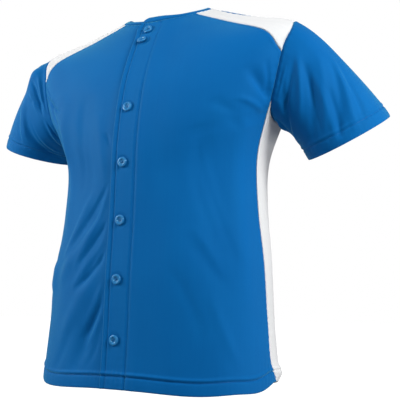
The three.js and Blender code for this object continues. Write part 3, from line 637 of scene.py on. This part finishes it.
angle, level = front_grid(PLACKET_SEAM_X, 1)
points, outward = torso_cloth(angle, level, left_front_lift(angle, level))
across, up = run_length(points, 1), run_length(points, 0)
to_side, to_neck = across[:, -1:] - across, up[-1:] - up
relief = hem_relief(across, up) + seam_relief(up, to_side) + seam_relief(across, to_neck)
relief = relief + (0.35 * bell(across - 4.6, 2.4) - 1.1 * bell(across, 2.4)) * seam_fade(up)
front_left = sewn_piece("left_front", points, outward, relief, (across, up), blue_knit, blue_lines)
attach(front_left, "root")
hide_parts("front_left")


# The outer button band runs from hem to neckband over the opening. It is a double layer with a
# row of stitches beside its free edge, another at its seam, and the buttonholes under the buttons.

BUTTONS_FROM_HEM = np.array([75.5, 171, 266.5, 362, 457.5])
BUTTONS_FROM_NECK = np.array([56, 30])
EDGE_STITCH = 8.8
BUTTONHOLE = 18.6

walk_levels = np.linspace(0, NECK_LEVEL, 2001)
walk = run_length(torso_form(np.zeros_like(walk_levels), walk_levels)[:, None], 0)[:, 0]
button_run = np.concatenate([BUTTONS_FROM_HEM, walk[-1] - BUTTONS_FROM_NECK])[::-1]
button_levels = np.interp(button_run, walk, walk_levels)

band_x = np.linspace(PLACKET_FREE_X, PLACKET_SEAM_X, 56)[None]
angle = front_angle(band_x, np.minimum(FRONT_LEVELS, OPENING_TOP)[:, None])
level = under_neckband(FRONT_LEVELS[:, None], angle)
points, outward = torso_cloth(angle, level, BAND_LIFT)
across, up = band_x - PLACKET_FREE_X + 0 * angle, run_length(points, 0)
to_seam, to_neck = across[:, -1:] - across, up[-1:] - up
relief = hem_relief(across, up) + seam_relief(across, to_neck)
relief = relief + 1.7 * (1 - across / EDGE_STITCH) * (across < EDGE_STITCH) - 1.3 * bell(across, 0.9)
relief = relief - 0.9 * bell(across - EDGE_STITCH, 1.5) + 0.45 * bell(across - EDGE_STITCH - 3.4, 2.0)
relief = relief + (0.3 * bell(to_seam - 5.0, 2.4) - 1.1 * bell(to_seam, 2.6)) * seam_fade(up)
relief = relief + 0.6 * pucker(up, np.abs(to_seam - 1)) * seam_fade(up)
relief = relief + 0.5 * pucker(up + 37, np.abs(across - EDGE_STITCH))
for button_at in button_run:
    right, above = across + PLACKET_FREE_X, up - button_at
    reach = np.hypot(right, above)
    relief = relief - 0.6 * bell(reach, 9.5) - 0.9 * bell(reach - 9.6, 1.5)
    slot_line = np.hypot(right, np.maximum(np.abs(above) - BUTTONHOLE / 2, 0))
    relief = relief + 0.45 * bell(slot_line - 1.2, 0.6) - 0.6 * bell(slot_line, 0.5)
points = points + outward * relief[..., None]
normals = cloth_normals(points, outward)
outer_band = cloth_object("outer_band", points, normals, across, up, 1.7)
outer_band.data.materials.append(blue_knit)
blue_lines.append(line_at(points, normals, up, HEM_WIDTH))
columns = np.swapaxes(points, 0, 1), np.swapaxes(normals, 0, 1)
for place in (EDGE_STITCH, PLACKET_SEAM_X - PLACKET_FREE_X - 2.0):
    blue_lines.append(line_at(*columns, across.T, place))
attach(outer_band, "root")
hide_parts("placket_left")


# The back is a single wide panel of the same knit, sewn to both side panels, both sleeves, the
# yokes and the neckband. It hangs in long soft folds from the shoulder blades.

SIDE_BACK_SEAM = np.array([[0, 128], [2, 121], [4, 117], [5.575, 119.45]])
YOKE_BACK_SEAM = np.array([[7.685, 109.98], [8.1, 104], [8.5, 97], [9, 88], [9.5, 86], [10, 93]])
YOKE_BACK_CORNER = 7.685

back_levels = rows_between(
    (0, 0), (HEM_ROWS, 34), (SIDE_CORNER, 160), (YOKE_BACK_CORNER, 60), (NECK_ROWS, 46), (NECK_LEVEL, 10))
back_side = np.where(
    back_levels < SIDE_CORNER, seam_angle(SIDE_BACK_SEAM, back_levels),
    np.where(back_levels < YOKE_BACK_CORNER, armhole_angle(back_levels, ARMHOLE_BACK),
             seam_angle(YOKE_BACK_SEAM, back_levels)))
share = spread(150)[None]
angle = back_side[:, None] * (1 - share) + (360 - back_side[:, None]) * share
level = under_neckband(back_levels[:, None], angle)
points, outward = torso_cloth(angle, level)
across, up = run_length(points, 1), run_length(points, 0)
to_side, to_neck = across[:, -1:] - across, up[-1:] - up
relief = hem_relief(across, up) + seam_relief(up, across) + seam_relief(up + 50, to_side)
relief = relief + seam_relief(across, to_neck)
flat = (across - across[:, -1:] / 2, up)
back = sewn_piece("back_panel", points, outward, relief, flat, blue_knit, blue_lines)
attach(back, "root")
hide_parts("back")


# The white side panels run from the hem up under the arm, one on each side. They are the same
# knit in white, swelling a little over the hem, with a curved top sewn to the bottom of the sleeve.

WHITE = (0.64, 0.638, 0.635)
WHITE_LIT = (0.7, 0.7, 0.7)
white_knit = knit_material("white_knit", WHITE, WHITE_LIT, (1.0, 1.0, 1.0), 0.66)
white_thread = thread_material("white_thread", (0.7, 0.69, 0.68))
white_lines = []
PANEL_SWELL = 4.5
PANEL_TUCK = 3.0

side_levels = rows_between((0, 0), (HEM_ROWS, 30), (5.4, 150), (SIDE_CORNER, 8))
for side, name in ((1, "left"), (-1, "right")):
    share = spread(56)[None]
    first, last = SIDE_FRONT_SEAM[-1, 1], SIDE_BACK_SEAM[-1, 1]
    top = armhole_level(first + (last - first) * share, False)
    level = side_levels[:, None] * top / SIDE_CORNER
    front_edge = seam_angle(SIDE_FRONT_SEAM, side_levels)[:, None]
    back_edge = seam_angle(SIDE_BACK_SEAM, side_levels)[:, None]
    angle = side * (front_edge + (back_edge - front_edge) * share)
    points, outward = torso_cloth(angle, level)
    across, up = run_length(points, 1), run_length(points, 0)
    to_back, to_arm = across[:, -1:] - across, up[-1:] - up
    relief = 0.7 * hem_relief(across, up) + seam_relief(up + 20, across) + seam_relief(up + 70, to_back)
    relief = relief + seam_relief(across, to_arm)
    swell = PANEL_SWELL * bell(up - 17, 11) - PANEL_TUCK * bell(up, 6)
    relief = relief + swell * ease(across, 0, 20) * ease(to_back, 0, 20)
    flat = (across, up)
    panel = sewn_piece(f"{name}_side_panel", points, outward, relief, flat, white_knit, white_lines)
    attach(panel, "root")
    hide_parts(f"side_{name}")


# The white yokes lie over the shoulders, from the neckband out to the top of the sleeve. Each is
# a long narrow piece with its seam to the front on the chest and its seam to the back on the ridge.

for side, name in ((1, "left"), (-1, "right")):
    up_share = rows_between((0, 0), (0.06, 8), (0.94, 76), (1, 10))[:, None]
    share = spread(52)[None]
    front_level = YOKE_CORNER + (NECK_LEVEL - YOKE_CORNER) * up_share
    back_level = YOKE_BACK_CORNER + (NECK_LEVEL - YOKE_BACK_CORNER) * up_share
    front_edge = seam_angle(YOKE_FRONT_SEAMS[side], front_level)
    angle = front_edge + (seam_angle(YOKE_BACK_SEAM, back_level) - front_edge) * share
    first, last = YOKE_FRONT_SEAMS[side][0, 1], YOKE_BACK_SEAM[0, 1]
    arm = armhole_level(first + (last - first) * share, True)
    start = YOKE_CORNER + (YOKE_BACK_CORNER - YOKE_CORNER) * share
    level = front_level + (back_level - front_level) * share + (arm - start) * (1 - up_share)
    level = under_neckband(level, angle)
    points, outward = torso_cloth(side * angle, level)
    across, up = run_length(points, 1), run_length(points, 0)
    to_back, to_neck = across[:, -1:] - across, up[-1:] - up
    relief = seam_relief(up + 15, across) + seam_relief(up + 60, to_back)
    relief = relief + seam_relief(across, up) + seam_relief(across, to_neck)
    yoke = sewn_piece(f"{name}_yoke", points, outward, relief, (across, up), white_knit)
    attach(yoke, "root")
    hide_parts(f"yoke_{name}")


# The sleeves are blue tubes of the same knit, sewn into the armholes and hemmed at the cuff.
# Each leaves the shoulder on a curve and hangs a little out and back, as a relaxed arm does.

SLEEVES = {
    # side, middle of the cuff, slope out and back for each mm down, half sizes of the cuff,
    # roll, the way it leaves the armhole, and its pull at the start and the end, top and bottom
    "left": (1, (321, 60, -246), (0.44, 0.43), (75, 83), 0.15, (2.03, -0.08), (164, 65), (99, 58)),
    "right": (-1, (326, 61, -230), (0.37, 0.16), (73, 82), 0.08, (2.2, -0.13), (179, 67), (110, 59)),
}
SLEEVE_FOLDS = {
    # from turn, along, to turn, along, bow, reach, rise, skew
    "left": np.array([
        [66, 0.2, 108, 0.5, 0, 9, 3, 0],
        [66, 0.33, 100, 0.7, 0, 9, -3.5, 0],
        [46, 0.35, 86, 0.75, 0, 9, 3, 0],
        [32, 0.45, 70, 0.85, 0, 9, -3, 0],
        [100, 0.12, 136, 0.45, 0, 12, -5, 0],
        [250, 0.2, 222, 0.65, 0, 11, -4, 0],
        [300, 0.25, 280, 0.75, 0, 11, -3.5, 0],
        [275, 0.22, 252, 0.7, 0, 10, 3, 0],
        [78, 0.18, 120, 0.25, 0, 7, -3.5, 0],
        [84, 0.1, 108, 0.1, 0, 5, 1.8, 0],
        [70, 0.22, 92, 0.4, 0, 6, 1.8, 0],
        [68, 0.3, 88, 0.75, -3, 6, -2.4, 0.2],
        [64, 0.42, 76, 0.85, 0, 6, 1.8, 0],
        [56, 0.55, 70, 0.88, 0, 5, -2.4, 0.2],
        [24, 0.42, 50, 0.88, -3, 7, 2.4, 0],
        [20, 0.5, 34, 0.85, 0, 6, -2.2, 0],
        [120, 0.3, 150, 0.62, 4, 7, 1.6, 0],
        [215, 0.15, 190, 0.5, 4, 7, -2.4, 0],
        [262, 0.5, 240, 0.85, 3, 7, 2.0, 0],
        [335, 0.25, 25, 0.25, 0, 28, 6, 0],
    ]),
    "right": np.array([
        [30, 0.12, 60, 0.3, 0, 24, 6, 0],
        [86, 0.5, 150, 0.8, 0, 10, -4, 0],
        [108, 0.2, 168, 0.45, 0, 10, -5, 0],
        [56, 0.4, 90, 0.72, 0, 10, 3.5, 0],
        [245, 0.2, 215, 0.6, 0, 11, -4, 0],
        [295, 0.3, 272, 0.8, 0, 11, -3.5, 0],
        [62, 0.38, 98, 0.68, 0, 7, 2.4, 0],
        [62, 0.5, 88, 0.78, 0, 7, -2.2, 0],
        [92, 0.42, 148, 0.7, 0, 6, -1.6, 0.2],
        [112, 0.2, 166, 0.42, 0, 11, 3.8, 0],
        [112, 0.14, 150, 0.2, 0, 5, -2.6, 0],
        [72, 0.3, 94, 0.05, 0, 4, -1.8, 0],
        [54, 0.11, 94, 0.09, 0, 5, 3.4, 0],
        [52, 0.2, 94, 0.16, 0, 4.5, -4.6, 0.2],
        [58, 0.27, 90, 0.24, 0, 5, 1.8, 0],
        [120, 0.5, 158, 0.62, 4, 7, 1.8, 0],
        [225, 0.12, 196, 0.5, 4, 7, -2.4, 0],
        [268, 0.45, 246, 0.82, 3, 7, 2.0, 0],
        [10, 0.17, 55, 0.17, 0, 20, 5, 0],
    ]),
}
# mm of cloth for one degree of turn and for the length from armhole to cuff
SLEEVE_SCALE = (1.4, 230)
SLEEVE_RADIUS = 80


def armhole_points(side, turn):
    """Points and outward directions of the torso round the armhole. Turn 0 is the shoulder tip."""
    sine, cosine = np.sin(np.radians(turn)), np.cos(np.radians(turn))
    width = np.where(sine > 0, ARMHOLE_FRONT, ARMHOLE_BACK)
    height = np.where(cosine > 0, ARMHOLE_TOP - ARMHOLE_MIDDLE, ARMHOLE_MIDDLE - ARMHOLE_BOTTOM)
    return torso_cloth(side * (90 - width * sine), ARMHOLE_MIDDLE + height * cosine)


def sleeve_form(sleeve, turn, along):
    """Points of a smooth sleeve: a cubic curve at each turn, from the armhole at 0 to the cuff at 1.

    It leaves along one direction and arrives along the arm's, with more pull at the top.
    """
    side, cuff, slope, halves, roll, start, start_pull, end_pull = sleeve
    mirror = np.array([side, 1, 1])
    sine, cosine = np.sin(np.radians(turn))[..., None], np.cos(np.radians(turn))[..., None]
    arm = unit(np.array([slope[0], slope[1], -1.0]))
    top = unit(np.array([1.0, 0, 0]) - arm * arm[0])
    ahead = np.cross(arm, top)
    rise, reach = halves[0] * cosine, halves[1] * sine
    ring = top * (rise * np.cos(roll) - reach * np.sin(roll))
    ring = ring + ahead * (rise * np.sin(roll) + reach * np.cos(roll))
    cuff_ring = (np.array(cuff) + ring) * mirror
    upper = (1 + cosine) / 2
    leave = unit(np.array([start[0], start[1], -1.0])) * mirror
    leave = leave * (start_pull[1] + (start_pull[0] - start_pull[1]) * upper)
    arrive = arm * mirror * (end_pull[1] + (end_pull[0] - end_pull[1]) * upper)
    t = along[..., None]
    hole = armhole_points(side, turn)[0]
    return (hole * (2 * t ** 3 - 3 * t ** 2 + 1) + leave * (t ** 3 - 2 * t ** 2 + t)
            + cuff_ring * (3 * t ** 2 - 2 * t ** 3) + arrive * (t ** 3 - t ** 2))


for name, sleeve in SLEEVES.items():
    side = sleeve[0]
    turn = np.linspace(0, 360, 190, endpoint=False)[None]
    along = rows_between((0, 0), (0.06, 14), (0.86, 72), (1, 30))[:, None]
    turn, along = turn + 0 * along, along + 0 * turn
    points = sleeve_form(sleeve, turn, along)
    start = armhole_points(side, turn[:1])[1]
    middle = points.mean(1, keepdims=True)
    outward = cloth_normals(points, points - middle, True)
    height = fold_height(SLEEVE_FOLDS[name], turn, along, SLEEVE_SCALE) * ease(along, 0, 0.12)
    height = height + 0.35 * np.sin(np.radians(5 * turn) + 7 * along) * ease(along, 0.05, 0.3)
    run = run_length(points, 0)
    around = np.radians(turn) * SLEEVE_RADIUS
    relief = seam_relief(around, run) + 0.6 * hem_relief(around, run[-1:] - run)
    lean = ease(along, 0, 0.04)[..., None]
    points = points + outward * height[..., None]
    points = points + unit(start * (1 - lean) + outward * lean) * relief[..., None]
    normals = cloth_normals(points, outward, True)
    tube = cloth_object(f"{name}_sleeve", points, normals, around, run, CLOTH, True)
    tube.data.materials.append(blue_knit)
    cuff_line = line_at(points[::-1], normals[::-1], (run[-1:] - run)[::-1], HEM_WIDTH)
    blue_lines.append(tuple(np.concatenate([part, part[:1]]) for part in cuff_line))
    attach(tube, "root")
    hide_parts(f"sleeve_{name}")


# The neckband is a folded strip of blue knit round the neck. Its end on the outer band stands a
# little higher, with a rounded corner, and its other end lies under it.

NECK_STEP = 3.0
YOKE_AT_NECK = 50.0
CORNER_DROP = 4.5

first = front_angle(np.array(PLACKET_FREE_X), np.array(OPENING_TOP))
last = 360 + front_angle(np.array(UNDERLAP_X), np.array(OPENING_TOP))
angle = (first + (last - first) * np.linspace(0, 1, 320))[None]
up_share = np.linspace(0, 1, 12)[:, None]
angle, up_share = angle + 0 * up_share, up_share + 0 * angle
seam_level = under_neckband(np.full_like(angle, NECK_LEVEL), angle)
on_top, below = angle < YOKE_AT_NECK, angle > 360 - YOKE_AT_NECK
lift = np.where(on_top, left_front_lift(angle, seam_level), 0.0)
low, outward = torso_cloth(angle, seam_level, lift)
high, outward_high = torso_cloth(angle, np.full_like(angle, NECK_LEVEL), lift)
slope = torso_form(angle, np.full_like(angle, NECK_LEVEL))
slope = unit(slope - torso_form(angle, np.full_like(angle, NECK_LEVEL - 0.1)))
near = 1 - ease(np.abs(torso_form(angle, seam_level)[..., 0]), 15, 60)
step = NECK_STEP * near * np.where(on_top, 1.0, np.where(below, -1.0, 0.0))
high = high + slope * step[..., None]
around = run_length(low, 1)
high = high - slope * (CORNER_DROP * bell(around, 4.0))[..., None]
points = low + (high - low) * up_share[..., None]
outward = unit(outward * (1 - up_share[..., None]) + outward_high * up_share[..., None])
run = up_share * NECKBAND_HEIGHT
relief = 0.8 * np.sin(np.pi * up_share) - 0.9 * bell(run, 1.1) - 0.8 * bell(NECKBAND_HEIGHT - run, 1.2)
relief = relief - 0.7 * bell(around, 1.0)
neckband = sewn_piece("neck_band", points, outward, relief, (around, run), blue_knit, thick=1.8)
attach(neckband, "root")
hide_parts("neckband")


# The stitching is polyester thread in the colour of the cloth: one row along the hem and each
# cuff, and two along the outer band.

stitching("blue_stitching", blue_lines, blue_thread)
stitching("white_stitching", white_lines, white_thread)


# The buttons are seven round blue plastic ones with a raised rim, a dished middle and four holes.
# Each is sewn on with two crossed strands through the holes.

BUTTON_RADIUS = 8.3
BUTTON_THICK = 3.0
RIM_RADIUS = 1.5
DISH = 1.6
HOLE_OFFSET = 1.45
HOLE_RADIUS = 0.72
HOLE_DEPTH = 1.0
STRAND_RADIUS = 0.34
STRAND_SINK = 0.35
BUTTON_GAP = 0.1
BUTTON_TURNS = (20, -35, 8, -12, 31, 3, -22)
BUTTON_LEANS = ((0, 0), (14, 0), (0, 0), (0, 0), (0, 0), (0, 0), (0, 0))
BUTTON_SHIFTS = (0, -4.5, 0, 0, 0, 0, 0)


def button_profile():
    """Radius and height from the middle of the top, over the rim and down round to the bottom."""
    top = np.linspace(0.02, 6.0, 30)
    dish = DISH * (1 - ease(top, 3.6, 5.4))
    turn = np.linspace(0, np.pi, 13)
    rim_r = BUTTON_RADIUS - RIM_RADIUS + RIM_RADIUS * np.sin(turn)
    rim_z = BUTTON_THICK / 2 + (BUTTON_THICK / 2) * np.cos(turn)
    bottom = np.linspace(6.0, 0.02, 5)
    radius = np.concatenate([top, rim_r, bottom])
    height = np.concatenate([BUTTON_THICK - dish, rim_z, 0 * bottom])
    return radius, height, len(top)


def plastic_material():
    """Moulded blue plastic with a gloss, faint swirls in its colour, and fine wear on the rim."""
    material, tree, shader = new_material("button_plastic")
    shader.inputs["Coat Weight"].default_value = 0.3
    shader.inputs["Coat Roughness"].default_value = 0.18
    shader.inputs["Specular IOR Level"].default_value = 0.5
    shader.inputs["Specular Tint"].default_value = (0.45, 0.85, 1.0, 1)
    shader.inputs["Coat Tint"].default_value = (0.75, 0.93, 1.0, 1)
    place = tree.nodes.new("ShaderNodeTexCoord").outputs["Object"]
    swirl = add_noise(tree, place, 160.0, distortion=1.2)
    dyed = add_mix(tree, swirl, (0.008, 0.14, 0.37), (0.02, 0.2, 0.45))
    scratch = add_noise(tree, place, 1400.0)
    rough = add_math(tree, "MULTIPLY_ADD", scratch, 0.16, 0.22)
    link_surface(tree, shader, dyed, rough, scratch, 0.12, 0.0001)
    return material


def strand(start, end, rise):
    """A thread over the dish: points on an arc from hole to hole, and eight-sided rings round it."""
    t = np.linspace(0, 1, 9)[:, None]
    path = start + (end - start) * t
    path[:, 2] += rise * np.sin(np.pi * t[:, 0])
    ahead = unit(np.gradient(path, axis=0))
    side = unit(np.cross(ahead, [0, 0, 1.0]))
    turn = np.arange(8)[None, :, None] * np.pi / 4
    ring = side[:, None] * np.cos(turn) + np.cross(side, ahead)[:, None] * np.sin(turn)
    index = np.arange(72).reshape(9, 8)
    ahead_index = np.roll(index, -1, 1)
    faces = np.stack([ahead_index[:-1], index[:-1], index[1:], ahead_index[1:]], -1)
    return (path[:, None] + STRAND_RADIUS * ring).reshape(-1, 3), faces.reshape(-1, 4)


def button_form():
    """Points and faces of a button that stands on z = 0 with its two strands, and its own face count."""
    radius, height, top_rings = button_profile()
    turn = np.linspace(0, 2 * np.pi, 72, endpoint=False)
    x, y = radius[:, None] * np.cos(turn), radius[:, None] * np.sin(turn)
    z = height[:, None] + 0 * x
    for hole_x, hole_y in ((1, 1), (1, -1), (-1, 1), (-1, -1)):
        reach = np.hypot(x[:top_rings] - hole_x * HOLE_OFFSET, y[:top_rings] - hole_y * HOLE_OFFSET)
        z[:top_rings] -= HOLE_DEPTH * (1 - ease(reach, HOLE_RADIUS - 0.15, HOLE_RADIUS + 0.15))
    index = np.arange(x.size).reshape(x.shape)
    ahead_index = np.roll(index, -1, 1)
    walls = np.stack([index[:-1], index[1:], ahead_index[1:], ahead_index[:-1]], -1).reshape(-1, 4)
    faces = walls.tolist() + [index[0].tolist(), index[-1][::-1].tolist()]
    body_faces, points = len(faces), [np.stack([x, y, z], -1).reshape(-1, 3)]
    ends = np.array([[-1, -1, 0], [1, 1, 0], [-1, 1, 0], [1, -1, 0]]) * HOLE_OFFSET
    ends = ends + [0, 0, BUTTON_THICK - DISH - STRAND_SINK]
    for first, last, rise in ((0, 1, 0.75), (2, 3, 0.95)):
        strand_points, strand_faces = strand(ends[first], ends[last], rise)
        faces += (strand_faces + sum(len(part) for part in points)).tolist()
        points.append(strand_points)
    return np.concatenate(points), faces, body_faces


def button_axes(outward, lean, spin):
    """A button's right, above and out: along the cloth, leaned up and sideways, then turned."""
    lean_up, lean_side = np.radians(lean)
    right = np.array([1.0, 0, 0])
    out = unit(outward + np.cross(outward, right) * np.tan(lean_up) + right * np.tan(lean_side))
    right = unit(right - out * (right @ out))
    above = np.cross(out, right)
    cosine, sine = np.cos(np.radians(spin)), np.sin(np.radians(spin))
    return np.stack([right * cosine + above * sine, above * cosine - right * sine, out])


plastic = plastic_material()
form, faces, body_faces = button_form()
for number, row in enumerate(zip(button_levels, BUTTON_TURNS, BUTTON_LEANS, BUTTON_SHIFTS), 1):
    button_level, spin, lean, shift = row
    level = np.array([button_level])
    place, outward = torso_cloth(front_angle(np.array([float(shift)]), level), level, BAND_LIFT)
    lift = BUTTON_GAP + BUTTON_RADIUS * np.sin(np.hypot(*np.radians(lean))) * 0.6
    points = place[0] + outward[0] * lift + form @ button_axes(outward[0], lean, spin)
    button = new_piece(f"button_{number}_detail", points, faces)
    button.data.materials.append(plastic)
    button.data.materials.append(blue_thread)
    slots = np.zeros(len(faces), int)
    slots[body_faces:] = 1
    button.data.polygons.foreach_set("material_index", slots)
    button.data.polygons.foreach_set("use_smooth", np.ones(len(faces), bool))
    button.data.update()
    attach(button, "root")
    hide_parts(f"button_{number}")


# The set is a pale floor far below, as under a standing wearer, with large soft lights on both sides,
# one above, and small low ones aimed at the sleeves. The camera is low at the wearer's left.

FLOOR_Z = -1.42


def area_light(name, place, aim, size, power):
    """A square soft light at a place, turned towards the point that it aims at."""
    lamp = bpy.data.lights.new(name, "AREA")
    lamp.size = size
    lamp.energy = power
    light = bpy.data.objects.new(name, lamp)
    bpy.context.scene.collection.objects.link(light)
    light.location = place
    towards = mathutils.Vector(aim) - mathutils.Vector(place)
    light.rotation_euler = towards.to_track_quat("-Z", "Y").to_euler()


bpy.ops.mesh.primitive_circle_add(vertices=96, radius=40, fill_type="NGON", location=(0, 0, FLOOR_Z))
floor = bpy.context.object
floor.name = "floor"
paper, paper_tree, paper_shader = new_material("pale_paper")
paper_shader.inputs["Base Color"].default_value = (0.5, 0.5, 0.5, 1)
paper_shader.inputs["Roughness"].default_value = 0.9
paper_shader.inputs["Specular IOR Level"].default_value = 0.0
paper_shader.inputs["Emission Color"].default_value = (1, 1, 1, 1)
paper_ray = paper_tree.nodes.new("ShaderNodeLightPath")
paper_tree.links.new(paper_ray.outputs["Is Camera Ray"], paper_shader.inputs["Emission Strength"])
floor.data.materials.append(paper)

# the light from around is stronger from both sides and above, and the camera sees plain white
world = bpy.data.worlds.new("studio")
world.use_nodes = True
tree = world.node_tree
ray = tree.nodes.new("ShaderNodeLightPath")
parts = tree.nodes.new("ShaderNodeSeparateXYZ")
tree.links.new(tree.nodes.new("ShaderNodeTexCoord").outputs["Generated"], parts.inputs[0])
sideways = add_math(tree, "POWER", parts.outputs["X"], 2.0)
from_sides = add_math(tree, "MULTIPLY_ADD", sideways, 0.4, 0.17)
from_above = add_math(tree, "MULTIPLY_ADD", parts.outputs["Z"], 0.08, from_sides)
shown = add_math(tree, "MAXIMUM", ray.outputs["Is Camera Ray"], from_above)
tree.links.new(shown, tree.nodes["Background"].inputs["Strength"])
tree.nodes["Background"].inputs["Color"].default_value = (1, 1, 1, 1)
bpy.context.scene.world = world
bpy.context.scene.view_settings.view_transform = "Standard"

area_light("left_soft", (-1.25, -0.85, 0.2), (0, 0, -0.15), 0.8, 22)
area_light("right_soft", (1.3, -0.45, 0.35), (0.15, 0, -0.1), 0.5, 20)
area_light("right_low", (1.0, 0.22, -0.75), (0.2, 0, -0.25), 0.35, 3.0)
area_light("top_soft", (0.15, -0.85, 0.55), (0, 0, -0.05), 0.7, 2.1)
area_light("sleeve_low", (-0.15, -1.3, -0.7), (-0.32, 0, -0.2), 0.4, 1.2)

camera_data = bpy.data.cameras.new("camera")
camera_data.lens = 67.63
camera_data.sensor_width = 36.0
camera = bpy.data.objects.new("camera", camera_data)
camera_right = np.array([0.8953, 0.4450, 0.0200])
camera_up = np.array([0.0431, -0.1314, 0.9904])
camera_ahead = np.array([-0.4434, 0.8858, 0.1369])
stand = np.eye(4)
stand[:3, :3] = np.stack([unit(camera_right), unit(camera_up), -unit(camera_ahead)], 1)
stand[:3, 3] = (0.6546, -1.1664, -0.5295)
camera.matrix_world = mathutils.Matrix(stand.tolist())
bpy.context.scene.collection.objects.link(camera)
bpy.context.scene.camera = camera
